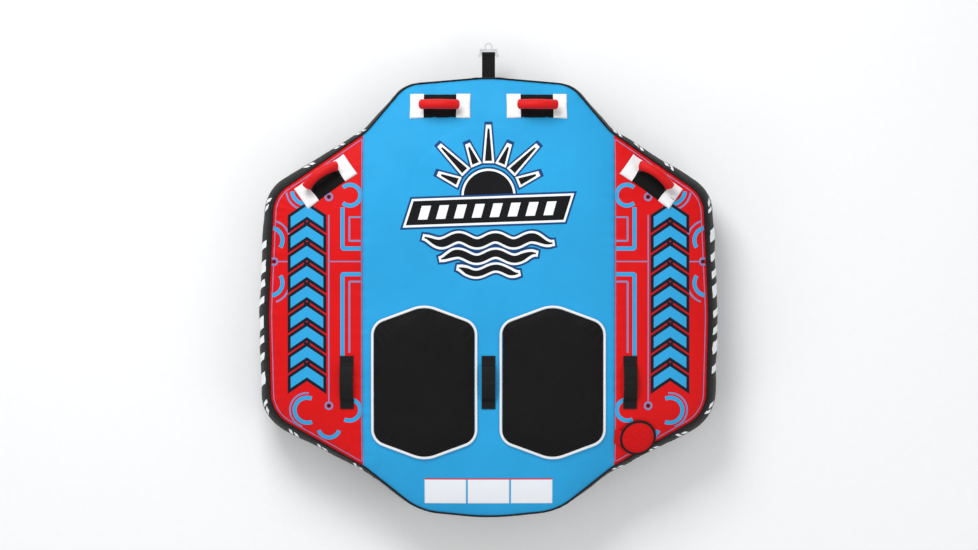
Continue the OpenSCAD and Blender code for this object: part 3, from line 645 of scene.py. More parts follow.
def build_cover():
    nx, ny = 200, 300
    xs = DSX * (2 * mixcos(nx, 0.25) - 1)
    w = mixcos(ny, 0.45)
    X = np.tile(xs[:, None], (1, ny))
    Y = y_stern(xs)[:, None] + (y_bow(xs) - y_stern(xs))[:, None] * w[None]
    Z = deck(X, Y)
    P = np.stack([X, Y, Z], -1)
    ob = grid_obj("deck_center", P, fab=P, flip=True)
    thicken(ob, 1.3)
    piece(ob, "hull", "blue", "cover_blue", "cover_deck_center")
    for sx, nm in ((-1, "left"), (1, "right")):
        x0 = DSX
        ya, yb = float(y_stern(x0 + 0.6)), float(y_bow(x0 + 0.6))
        ys = ya + (yb - ya) * mixcos(330, 0.35)
        t = mixcos(68, 0.15)
        t = 0.55 * t + 0.45 * np.sin(t * math.pi / 2)
        X = x0 + (x_side(ys) - x0)[:, None] * t[None]
        Y = np.tile(ys[:, None], (1, len(t)))
        P = np.stack([X * sx, Y, deck(X * sx, Y)], -1)
        ob = grid_obj("deck_" + nm, P, fab=P, flip=(sx < 0))
        if sx > 0:
            port_hole(ob)
        thicken(ob, 1.3)
        piece(ob, "hull", "red", "cover_red", "cover_deck_" + nm)


def frame_at(x, y, az):
    h = 6.0
    zx = float(deck0(np.array(x + h), np.array(y)) - deck0(np.array(x - h), np.array(y))) / (2 * h)
    zy = float(deck0(np.array(x), np.array(y + h)) - deck0(np.array(x), np.array(y - h))) / (2 * h)
    ez = unit([-zx, -zy, 1])
    c, s = math.cos(math.radians(az)), math.sin(math.radians(az))
    ex = unit([c, s, zx * c + zy * s])
    ey = np.cross(ez, ex)
    m = np.eye(4)
    m[:3, 0], m[:3, 1], m[:3, 2], m[:3, 3] = ex, ey, ez, [x, y, float(deck0(np.array(x), np.array(y)))]
    return m


def to_world(m, p):
    p = np.asarray(p, float)
    return p @ m[:3, :3].T + m[:3, 3]


def to_local(m, p):
    return (np.asarray(p, float) - m[:3, 3]) @ m[:3, :3]


def local_deck(m, lx, ly):
    """Height of the visible deck above a local frame's plane."""
    lx, ly = np.broadcast_arrays(np.asarray(lx, float), np.asarray(ly, float))
    h = np.zeros(lx.shape)
    for _ in range(5):
        w = to_world(m, np.stack([lx, ly, h], -1))
        h = h + (deck(w[..., 0], w[..., 1]) - w[..., 2]) / m[2, 2]
    return h


VALVE = frame_at(VX, VY, 0)


def port_hole(ob, r=42.0):
    me = ob.data
    bm = bmesh.new()
    bm.from_mesh(me)
    kill = []
    for f in bm.faces:
        l = to_local(VALVE, np.array(f.calc_center_median()) * 1000)
        if math.hypot(l[0], l[1]) < r:
            kill.append(f)
    bmesh.ops.delete(bm, geom=kill, context="FACES")
    for v in bm.verts:
        if v.is_boundary:
            l = to_local(VALVE, np.array(v.co) * 1000)
            q = math.hypot(l[0], l[1])
            if q < r + 12:
                l[0] *= r / q
                l[1] *= r / q
                v.co = Vector(to_world(VALVE, l) / 1000)
    bm.to_mesh(me)
    bm.free()


rip_top, rip_low, rip_body = Ripple(31, 26, 60), Ripple(32, 30, 70), Ripple(33, 110, 320)


def band_point(s, v, out=0.0):
    """Point of the side band at distance s along the rim and share v of its height, with its outward direction."""
    s = np.asarray(s, float) % RIM_L
    t = np.r_[RIM_S, RIM_L]
    x = np.interp(s, t, np.r_[RIM[:, 0], RIM[0, 0]])
    y = np.interp(s, t, np.r_[RIM[:, 1], RIM[0, 1]])
    nx = np.interp(s, t, np.r_[RIM_N[:, 0], RIM_N[0, 0]])
    ny = np.interp(s, t, np.r_[RIM_N[:, 1], RIM_N[0, 1]])
    b = bulge(x)
    H = SEAM_Z - LOW_Z
    v = np.asarray(v, float)
    top, low = (1 - v) * H, v * H
    d = b * band_off(v)
    d = d + np.clip(top / 7, 0, 1) * np.clip(low / 7, 0, 1) * (1.3 * rip_top(s) * np.exp(-top / 34) + 1.4 * rip_low(s) * np.exp(-low / 38)
             + 1.0 * rip_body(s + 60 * v) * np.sin(math.pi * v))
    d = d + out
    return np.stack([x + nx * d, y + ny * d, LOW_Z + H * v], -1)


def build_band():
    n, m = 1000, 30
    s = np.arange(n) * RIM_L / n
    v = 0.5 - 0.5 * np.cos(math.pi * np.linspace(0.0, 1.0, m)) * 1.0
    S, V = np.meshgrid(s, v, indexing="ij")
    P = band_point(S, V)
    F = np.stack([S, V * 215, 0 * S], -1)
    ob = grid_obj("side_band", P, wr=True, fab=F)
    thicken(ob, 1.3)
    piece(ob, "hull", "black", "cover_black", "cover_side_band")
    # bindings over both seams: a folded tape with a rounded back
    q = even(PLAN, 900)
    nn = plan_normals(q)
    ss = np.arange(900) * RIM_L / 900
    top = np.stack([q[:, 0] + 2.2 * nn[:, 0], q[:, 1] + 2.2 * nn[:, 1], 256.6 + 0.5 * rip_top(ss)], 1)
    ob = tube_obj("seam_binding_top", top, 3.3, m=12, flat=0.85)
    piece(ob, "hull", "bind", "binding_black", "seam_piping_top")
    low = np.stack([q[:, 0] + 2.2 * nn[:, 0], q[:, 1] + 2.2 * nn[:, 1], 57.0 + 0.4 * rip_low(ss)], 1)
    ob = tube_obj("seam_binding_bottom", low, 3.3, m=12, flat=0.85)
    piece(ob, "hull", "bind", "binding_black", "seam_piping_bottom")
    # stitching beside the top seam, on the deck and on the band
    r1 = q - 5.2 * nn
    up = np.stack([-0.0 * nn[:, 0] + nn[:, 0] * 0.45, nn[:, 1] * 0.45, np.full(900, 0.9)], 1)
    z1 = deck(r1[:, 0], r1[:, 1])
    path = np.column_stack([r1, z1])
    side = np.abs(r1[:, 0]) > DSX + 2
    for a, b, c in runs(side):
        stitches("red" if c else "blue", path[a:b], 5.2, 3.5, up=up[a:b])
    bp = band_point(ss, np.full(900, 0.955))
    stitches("band", bp, 5.4, 3.6, closed=True, up=np.column_stack([nn * 0.9, np.full(900, 0.3)]))
    bp = band_point(ss, np.full(900, 0.04))
    stitches("band", bp, 5.4, 3.6, closed=True, up=np.column_stack([nn * 0.9, np.full(900, -0.3)]))


def runs(mask):
    """Stretches of a mask: (first, last + 1, value)."""
    out, a = [], 0
    for i in range(1, len(mask) + 1):
        if i == len(mask) or mask[i] != mask[a]:
            if i - a > 2:
                out.append((a, i, bool(mask[a])))
            a = i
    return out


def build_bottom():
    n, m = 720, 14
    e = np.linspace(0, 1, m)
    P = np.zeros((n, m, 3))
    for k in range(m):
        p = RIM * (0.84 + 0.16 * e[k])
        P[:, k, 0], P[:, k, 1] = p[:, 0], p[:, 1]
        P[:, k, 2] = keel_z(e[k]) + (0.9 * rip_low(RIM_S) * math.exp(-(1 - e[k]) * 110 / 30) * min(1, (1 - e[k]) * 12))
    zl, zw, zy = 440.0, 15.0, -420.0
    bm = bmesh.new()
    outer = [bm.verts.new((p[0] / 1000, p[1] / 1000, 0)) for p in P[:, 0]]
    inner = [bm.verts.new((x / 1000, y / 1000, 0)) for x, y in ((-zl, zy - zw), (zl, zy - zw), (zl, zy + zw), (-zl, zy + zw))]
    for loop in (outer, inner):
        for a, b in zip(loop, loop[1:] + loop[:1]):
            bm.edges.new((a, b))
    bmesh.ops.triangle_fill(bm, use_beauty=True, use_dissolve=False, edges=bm.edges[:])
    for k in range(-16, 17):
        for axis in (0, 1):
            co, no = [0, 0, 0], [0, 0, 0]
            co[axis], no[axis] = k * 0.04, 1
            bmesh.ops.bisect_plane(bm, geom=bm.verts[:] + bm.edges[:] + bm.faces[:], plane_co=co, plane_no=no)
    bm.verts.index_update()
    plate = np.array([v.co for v in bm.verts]) * 1000
    pf = [[v.index for v in f.verts] for f in bm.faces]
    bm.free()
    off = len(plate)
    pts = np.vstack([plate, P.reshape(-1, 3)])
    faces = pf + (grid_faces(n, m, True, False, off)).tolist()
    ob = new_mesh("underside", pts, faces, pts)
    bm = bmesh.new()
    bm.from_mesh(ob.data)
    bmesh.ops.remove_doubles(bm, verts=bm.verts[:], dist=0.00002)
    bmesh.ops.recalc_face_normals(bm, faces=bm.faces[:])
    if sum(f.normal.z * f.calc_area() for f in bm.faces) > 0:
        bmesh.ops.reverse_faces(bm, faces=bm.faces[:])
    bm.to_mesh(ob.data)
    bm.free()
    thicken(ob, 1.3)
    piece(ob, "hull", "under", "cover_black", "cover_bottom")
    for y in (zy - zw - 6, zy + zw + 6):
        xs = np.linspace(-zl - 6, zl + 6, 60)
        stitches("under", np.stack([xs, np.full(60, y), np.zeros(60)], 1), 5.5, 3.6, lift=0.0, up=np.tile([0, 0, -1.0], (60, 1)))


# ------------------------------------------------------------------ printed shapes on the deck, and painted highlight lines beside the seams
PRINT = {}


def print_grid(key, P2, off):
    """Adds a grid of plan points (rows, cols, 2) as a printed layer lying on the deck."""
    P2 = np.asarray(P2, float)
    z = deck(P2[..., 0], P2[..., 1])
    rim_near = np.clip(1 - edge_dist(P2[..., 0], P2[..., 1]) / 60, 0, 1)
    off = (0.02 + off * 0.5) + 0.22 * rim_near
    PRINT.setdefault(key, []).append((np.dstack([P2, z + off]), np.dstack([P2, z + off - 0.5])))


def stroke(key, pts, w, off, step=4.6, close=False, taper=None, grow=0.0):
    """A printed line of width w along plan points; taper scales the width along it."""
    pts = np.asarray(pts, float)
    if grow and not close:
        a, b = unit(pts[0] - pts[1]), unit(pts[-1] - pts[-2])
        pts = np.vstack([pts[:1] + a * grow, pts, pts[-1:] + b * grow])
    L = np.linalg.norm(np.diff(np.vstack([pts, pts[:1]]) if close else pts, axis=0), axis=1).sum()
    n = max(int(L / step), 2)
    q = even(pts, n if close else n + 1, close)
    if close:
        t = np.roll(q, -1, 0) - np.roll(q, 1, 0)
    else:
        t = np.gradient(q, axis=0)
    t /= np.linalg.norm(t, axis=1)[:, None]
    nn = np.stack([-t[:, 1], t[:, 0]], 1)
    u = np.linspace(0, 1, len(q))
    ww = np.full(len(q), w / 2 + grow)
    if taper is not None:
        ww = taper(u) * w / 2 + grow
    cols = max(int(2 * ww.max() / step), 1) + 1
    k = np.linspace(-1, 1, cols)
    G = q[:, None] + nn[:, None] * (ww[:, None] * k[None])[..., None]
    if close:
        G = np.concatenate([G, G[:1]])
    print_grid(key, G, off)


def poly(key, quad, off, step=4.6):
    """A printed four-sided patch, corners in order."""
    a, b, c, d = [np.asarray(p, float) for p in quad]
    n = max(int(max(np.linalg.norm(b - a), np.linalg.norm(c - d)) / step), 1) + 1
    m = max(int(max(np.linalg.norm(d - a), np.linalg.norm(c - b)) / step), 1) + 1
    u, v = np.linspace(0, 1, n), np.linspace(0, 1, m)
    U, V = np.meshgrid(u, v, indexing="ij")
    G = (a * ((1 - U) * (1 - V))[..., None] + b * (U * (1 - V))[..., None] + c * (U * V)[..., None] + d * ((1 - U) * V)[..., None])
    print_grid(key, G, off)


def arc(cx, cy, r, a0, a1, n=40):
    t = np.radians(np.linspace(a0, a1, n))
    return np.stack([cx + r * np.cos(t), cy + r * np.sin(t)], 1)


def shrink_quad(q, g):
    """Moves each corner of a four-sided patch outward by g (negative: inward)."""
    q = np.asarray(q, float)
    out = []
    for i in range(4):
        p, v, n = q[i - 1], q[i], q[(i + 1) % 4]
        a, b = unit(v - p), unit(n - v)
        area = np.cross(q[1] - q[0], q[3] - q[0])
        s = 1 if area > 0 else -1
        na, nb = np.array([a[1], -a[0]]) * s, np.array([b[1], -b[0]]) * s
        k = 1 + float(na @ nb)
        out.append(v + (na + nb) * g / max(k, 0.25))
    return out


def layered(quad, layers, off=0.45):
    for i, (key, g) in enumerate(layers):
        poly(key, shrink_quad(quad, g), off + 0.28 * i)


def emblem():
    """A plain sun-over-waves motif in the middle of the bow half."""
    cx, cy = 0.0, 330.0
    L3 = (("p_navy", 15.0), ("p_white", 8.0), ("p_black", 0.0))
    # half-disc sun
    for i, (key, g) in enumerate(L3):
        r = np.linspace(0.6, 90 + g, 24)
        a = np.radians(np.linspace(0, 180, 64))
        G = np.stack([cx + r[:, None] * np.cos(a)[None], cy + 40 + r[:, None] * np.sin(a)[None]], -1)
        print_grid(key, G[:, ::-1], 0.4 + 0.28 * i)
    # rays: long and short in turn
    for k in range(7):
        a = math.radians(157.5 - 22.5 * k)
        r0, r1 = 122, (240 if k % 2 else 186)
        c, s = math.cos(a), math.sin(a)
        p0, p1 = np.array([cx + r0 * c, cy + 44 + r0 * s]), np.array([cx + r1 * c, cy + 44 + r1 * s])
        n, d = np.array([-s, c]), unit(p1 - p0)
        for i, (key, g) in enumerate(L3):
            A, B = p0 - d * g, p1 + d * g * 1.7
            poly(key, [A - n * (13 + g), B - n * (3.5 + g * 0.72), B + n * (3.5 + g * 0.72), A + n * (13 + g)], 0.4 + 0.28 * i)
    # banner of slanted bars
    layered([(-300, 262), (272, 282), (300, 370), (-272, 350)], (("p_navy", 15), ("p_white", 8), ("p_black", 0)), 1.3)
    for k in range(8):
        x = -240 + 65 * k
        y = 316 + 0.035 * x
        layered([(x - 16, y - 25), (x + 18, y - 24), (x + 32, y + 26), (x - 2, y + 25)], (("p_white", 0),), 2.2)
    # three waves
    for j, (y, half, w) in enumerate(((208, 232, 30), (150, 172, 26), (98, 108, 22))):
        x = np.linspace(-half, half, 140)
        pts = np.stack([x, y + 11 * np.sin(x / half * math.pi * (3.5 - j) + 0.4)], 1)
        tp = lambda u: np.clip(np.minimum(u, 1 - u) * 7, 0.12, 1) ** 0.7
        for i, (key, g) in enumerate(L3):
            stroke(key, pts, w, 0.4 + 0.28 * i, taper=tp, grow=g)


def chevrons(sx):
    """A column of light chevrons with a dark edge, in the side panels' outer lane."""
    cx, hw = 660.0, 60.0
    y = 288.0
    while y > -352:
        for i, (key, g) in enumerate((("p_dark", 11.0), ("p_light", 0.0))):
            for s in (-1, 1):
                a, b = np.array([0.0, 26.0]), np.array([s * hw, -14.0])
                q = [a + [0, 20], b + [0, 20], b - [0, 20], a - [0, 20]]
                if s < 0:
                    q = q[::-1]
                poly(key, [(sx * (cx + p[0]), y + p[1]) for p in shrink_quad(q, g)], 0.9 + 0.34 * i)
        y -= 73


def scrolls(sx):
    """Plain double-line frames, rings, dots and centre lines on the side panels."""
    def P(pts): return [(sx * x, y) for x, y in pts]
    def wide(pts): stroke("p_light", P(pts), 15, 0.4)
    def thin(pts): stroke("p_thin", P(pts), 6.5, 0.45)
    def hair(pts): stroke("p_thin", P(pts), 4.0, 0.5)
    def bow(cx, cy, r, a0, a1, f): f([tuple(p) for p in arc(cx, cy, r, a0, a1, 44)])
    def dot(x, y):
        stroke("p_thin", P(arc(x, y, 12.5, 0, 360, 40)[:-1]), 6.5, 0.75, close=True, step=3.5)
        stroke("p_dark", P(arc(x, y, 3.4, 0, 360, 14)[:-1]), 6.6, 0.8, close=True, step=2.5)

    # inner lane: a framed field above and a long one below the cross line
    wide([(DSX + 5, 178), (530, 178), (530, 328)])
    thin([(DSX + 5, 206), (505, 206), (505, 292), (DSX + 5, 292)])
    bow(503, 372, 38, 48, 312, wide)
    wide([(DSX + 5, 85), (530, 85), (530, -342)])
    thin([(DSX + 5, 58), (505, 58), (505, -200)])
    hair([(DSX + 5, 131), (582, 131)])
    hair([(580, 300), (580, -378)])
    dot(580, 366)
    dot(580, -393)
    # three plain rings round the lower dot
    bow(660, -410, 46, -112, 112, wide)
    bow(660, -410, 63, -72, 96, thin)
    bow(505, -408, 39, 62, 298, wide)
    bow(581, -470, 40, -160, -20, wide)
    # quarter rings at the rim and a cross line between them
    for k in (-1, 1):
        bow(796, 131 + k * 78, 46, 98 if k > 0 else 262, 215 if k > 0 else 145, wide)
        bow(796, 131 + k * 78, 72, 108 if k > 0 else 252, 180, thin)
    hair([(770, 131), (726, 131)])
    dot(782, 131)
    # ring round the outer patch of the shoulder handle
    bow(664, 392, 52, -125, -6, wide)
    bow(664, 392, 73, -118, -8, thin)


def seam_highlight_lines(sx):
    """Painted highlight lines: fine light strips in the soft blue print colour beside the outer seam and the lengthwise
    seam of a side panel, standing in for light caught along the seams.
    """
    ok = (sx * RIM[:, 0] > DSX + 10)
    q = (RIM - 11.5 * RIM_N)[ok]
    o = np.argsort(-q[:, 1])
    stroke("p_thin", q[o], 2.8, 0.4, step=5)
    y = np.linspace(y_stern(DSX + 3) + 14, y_bow(DSX + 3) - 14, 260)
    stroke("p_thin", np.stack([np.full(260, sx * (DSX + 3.4)), y], 1), 2.4, 0.4, step=5)


def band_marks():
    """Slanted white bars round the side band."""
    rows = []
    H = 215.0
    def bar(s0, v0, ls, lv, sl):
        n, m = 9, 8
        U, V = np.meshgrid(np.linspace(-0.5, 0.5, n), np.linspace(-0.5, 0.5, m), indexing="ij")
        s = s0 + ls * U + sl * V
        v = v0 + lv / H * V
        rows.append((s, v))
    def s_at(x, y): return float(rim_s(np.array([x]), np.array([y]))[0])
    for sx in (-1, 1):
        a, b = s_at(sx * 800, 230), s_at(sx * 800, -300)
        lo, hi = min(a, b), max(a, b)
        k = 0
        t = lo
        while t < hi:
            for v0, lv in ((0.76, 60), (0.40, 60)):
                bar(t, v0, 26 if k % 3 else 44, lv, 16 if v0 > 0.5 else -16)
            t += 62 if k % 3 else 80
            k += 1
        for x, y in ((775, 330), (790, -395), (700, -480), (600, -540), (470, -612), (650, 470), (540, 540), (460, 590)):
            s0 = s_at(sx * x, y)
            for v0 in (0.8, 0.48):
                bar(s0 - 9, v0, 16, 30, 12)
                bar(s0 + 14, v0 + 0.02, 12, 40, 12)
        for x in (250, 170, 90):
            if x > 100:
                bar(s_at(sx * x, 790), 0.55, 34, 56, 18)
            bar(s_at(sx * x, -790), 0.55, 34, 56, 18)
    P, F, A, n0 = [], [], [], 0
    for s, v in rows:
        top, bot = band_point(s, v, 0.45), band_point(s, v, -0.1)
        nr, nc = s.shape
        k = nr * nc
        f = [grid_faces(nr, nc, off=n0), grid_faces(nr, nc, off=n0 + k, flip=True)]
        ring_i = [i for i in range(nc)] + [j * nc + nc - 1 for j in range(1, nr)] + [(nr - 1) * nc + i for i in range(nc - 2, -1, -1)] + [j * nc for j in range(nr - 2, 0, -1)]
        r = np.array(ring_i)
        r2 = np.roll(r, -1)
        f.append(np.stack([r2, r, r + k, r2 + k], 1) + n0)
        F.append(np.vstack(f))
        P += [top.reshape(-1, 3), bot.reshape(-1, 3)]
        ff = np.stack([s, v * H, 0 * s], -1).reshape(-1, 3)
        A += [ff, ff]
        n0 += 2 * k
    ob = new_mesh("band_bars", np.vstack(P), np.vstack(F), np.vstack(A))
    fix_normals(ob)
    crisp(ob)
    piece(ob, "hull", "p_white", "cover_black")


def fix_normals(ob):
    bm = bmesh.new()
    bm.from_mesh(ob.data)
    bmesh.ops.recalc_face_normals(bm, faces=bm.faces[:])
    bm.to_mesh(ob.data)
    bm.free()


def crisp(ob, angle=40):
    ob.data.set_sharp_from_angle(angle=math.radians(angle))
    return ob


def build_prints():
    for key, items in PRINT.items():
        P, F, n0 = [], [], 0
        for top, bot in items:
            nr, nc = top.shape[:2]
            k = nr * nc
            f = [grid_faces(nr, nc, off=n0), grid_faces(nr, nc, off=n0 + k, flip=True)]
            r = np.array([i for i in range(nc)] + [j * nc + nc - 1 for j in range(1, nr)] + [(nr - 1) * nc + i for i in range(nc - 2, -1, -1)] + [j * nc for j in range(nr - 2, 0, -1)])
            r2 = np.roll(r, -1)
            f.append(np.stack([r2, r, r + k, r2 + k], 1) + n0)
            F.append(np.vstack(f))
            P += [top.reshape(-1, 3), bot.reshape(-1, 3)]
            n0 += 2 * k
        pts = np.vstack(P)
        ob = new_mesh(key.replace("p_", "print_"), pts, np.vstack(F), pts)
        bm = bmesh.new()
        bm.from_mesh(ob.data)
        kill = []
        for f in bm.faces:
            c = np.array(f.calc_center_median()) * 1000
            l = to_local(VALVE, c)
            if math.hypot(l[0], l[1]) < 52 or c[1] > y_bow(c[0]) - 4 or c[1] < y_stern(c[0]) + 4 or abs(c[0]) > x_side(c[1]) - 4:
                kill.append(f)
        bmesh.ops.delete(bm, geom=kill, context="FACES")
        bmesh.ops.holes_fill(bm, edges=[e for e in bm.edges if e.is_boundary], sides=0)
        bmesh.ops.recalc_face_normals(bm, faces=bm.faces[:])
        bm.to_mesh(ob.data)
        bm.free()
        crisp(ob)
        piece(ob, "hull", key, "cover_red" if key in ("p_light", "p_thin", "p_dark") else "cover_blue")


# ------------------------------------------------------------------ padded pieces
def puff(ob, voxel, cap, pinned, pressure=4.0, frames=20):
    """Blows the closed piece up a little as cloth. Pinned points stay; no point moves further than cap (mm)."""
    rm = ob.modifiers.new("rm", "REMESH")
    rm.mode = "VOXEL"
    rm.voxel_size = voxel / 1000
    rm.use_smooth_shade = True
    bake_mods(ob)
    me = ob.data
    rest = np.empty(len(me.vertices) * 3)
    me.vertices.foreach_get("co", rest)
    rest = rest.reshape(-1, 3)
    g = ob.vertex_groups.new(name="pin")
    g.add([int(i) for i in np.nonzero(pinned(rest * 1000))[0]], 1.0, "REPLACE")
    c = ob.modifiers.new("cloth", "CLOTH")
    c.settings.quality = 5
    c.settings.mass = 0.3
    c.settings.tension_stiffness = 12
    c.settings.compression_stiffness = 12
    c.settings.shear_stiffness = 4
    c.settings.bending_stiffness = 0.6
    c.settings.use_pressure = True
    c.settings.uniform_pressure_force = pressure
    c.settings.vertex_group_mass = "pin"
    c.settings.effector_weights.gravity = 0.0
    c.collision_settings.use_collision = False
    c.collision_settings.use_self_collision = False
    c.point_cache.frame_start = 1
    c.point_cache.frame_end = frames
    sc = bpy.context.scene
    for f in range(1, frames + 1):
        sc.frame_set(f)
    dg = bpy.context.evaluated_depsgraph_get()
    ev = ob.evaluated_get(dg).data
    now = np.empty(len(ev.vertices) * 3)
    ev.vertices.foreach_get("co", now)
    now = now.reshape(-1, 3)
    d = now - rest
    L = np.linalg.norm(d, axis=1)
    k = np.where(L > 1e-9, np.tanh(L * 1000 / cap) * cap / 1000 / np.maximum(L, 1e-9), 0)
    ob.modifiers.clear()
    me.vertices.foreach_set("co", (rest + d * k[:, None]).ravel())
    ob.vertex_groups.clear()
    sc.frame_set(1)
    me.update()
    return ob


PAD_C = [(0, 287, 121), (193, 216, 63), (193, -216, 63), (0, -287, 121), (-193, -216, 63), (-193, 216, 63)]
PAD_LOOP = even(np.roll(rounded(PAD_C, 16), -8, 0), 240)
PAD_N = plan_normals(PAD_LOOP)


def build_pads():
    for sx, nm in ((-1, "left"), (1, "right")):
        c = np.array([sx * 233.0, -308.0])
        rows = []
        for f in np.r_[np.linspace(1, 0.9, 6), np.linspace(0.86, 0.04, 26)]:
            p = c + (PAD_LOOP - 8.5 * PAD_N) * f
            rows.append(p)
        R = np.array(rows)
        x, y = R[..., 0], R[..., 1]
        z = deck(x, y)
        dd = pad_depth(x - c[0], y - c[1])
        t = 7.6 * (1 - np.exp(-np.maximum(dd, 0) / 7.0)) + 1.6
        top = np.dstack([x, y, z + 1.2 + t])
        bot = np.dstack([x, y, z + 0.8])
        ob = closed_shell("seat_foam_" + nm, top, bot, wrap=True, flip=True, hub=True)

        def pinned(v, c=c):
            h = v[:, 2] - deck0(v[:, 0], v[:, 1])
            e = pad_depth(v[:, 0] - c[0], v[:, 1] - c[1])
            return (e < 5) | (v[:, 2] - deck(v[:, 0], v[:, 1]) < 2.6)
        puff(ob, 4.0, 5.0, pinned, pressure=4.0)
        # embossed groove after the remesh: a line inside the edge, and a soft cloudy undulation over the top
        me = ob.data
        v = np.empty(len(me.vertices) * 3)
        me.vertices.foreach_get("co", v)
        v = v.reshape(-1, 3) * 1000
        e = pad_depth(v[:, 0] - c[0], v[:, 1] - c[1])
        upper = v[:, 2] - deck(v[:, 0], v[:, 1]) > 4.0
        v[:, 2] -= upper * 1.5 * np.exp(-((e - 20) / 3.4) ** 2)
        v[:, 2] += upper * np.clip(e / 30, 0, 1) * 0.5 * cl_mid(v[:, 0] * 1.4 + 77 * sx, v[:, 1] * 1.4)
        me.vertices.foreach_set("co", (v / 1000).ravel())
        sm = ob.modifiers.new("soft", "SMOOTH")
        sm.factor = 0.5
        sm.iterations = 3
        sb = ob.modifiers.new("sub", "SUBSURF")
        sb.levels = sb.render_levels = 1
        bake_mods(ob)
        ob.data.polygons.foreach_set("use_smooth", [True] * len(ob.data.polygons))
        piece(ob, "hull", "pad", "pad_black", "seat_pad_" + nm)
        # white bound edge
        q = c + PAD_LOOP - 4.8 * PAD_N
        path = np.column_stack([q, deck(q[:, 0], q[:, 1]) + 4.6])
        ob = tube_obj("seat_binding_" + nm, path, 4.9, m=14, flat=0.92)
        piece(ob, "hull", "pipe", "piping_white", "seat_piping_" + nm)
        for d, k in ((7.4, "white"),):
            q = c + PAD_LOOP - d * PAD_N
            stitches(k, np.column_stack([q, deck(q[:, 0], q[:, 1]) + 8.3]), 5.0, 3.2, r=0.45, closed=True)
        q = c + PAD_LOOP - 28.5 * PAD_N


def pad_depth(x, y):
    """How far inside the pad's outline a point is."""
    x, y = np.abs(x), np.abs(y)
    a = 193 - x
    n = unit([71, 193])
    b = (np.array([0, 287]) @ n) - (x * n[0] + y * n[1])
    a, b = np.maximum(a, -20), np.maximum(b, -20)
    k = 14.0
    h = np.clip(0.5 + 0.5 * (b - a) / k, 0, 1)
    return b * (1 - h) + a * h - k * h * (1 - h)


HANDLES = {
    "front_left": (-176, 697, 0, 14), "front_right": (176, 697, 0, 14),
    "side_left": (-593, 423, 35.3, -14), "side_right": (593, 423, -35.3, -14),
}
PIVOT_H, ARCH_R, ARCH_H, GRIP_R = 11.8, 108.5, 52.0, 18.5
HALF = math.asin(65.5 / ARCH_R)


def lean(p, a):
    """Turns loop points about the pivot line by a degrees and lifts them onto it."""
    p = np.asarray(p, float)
    c, s = math.cos(math.radians(a)), math.sin(math.radians(a))
    return np.stack([p[..., 0], p[..., 1] * c - p[..., 2] * s, p[..., 1] * s + p[..., 2] * c + PIVOT_H], -1)


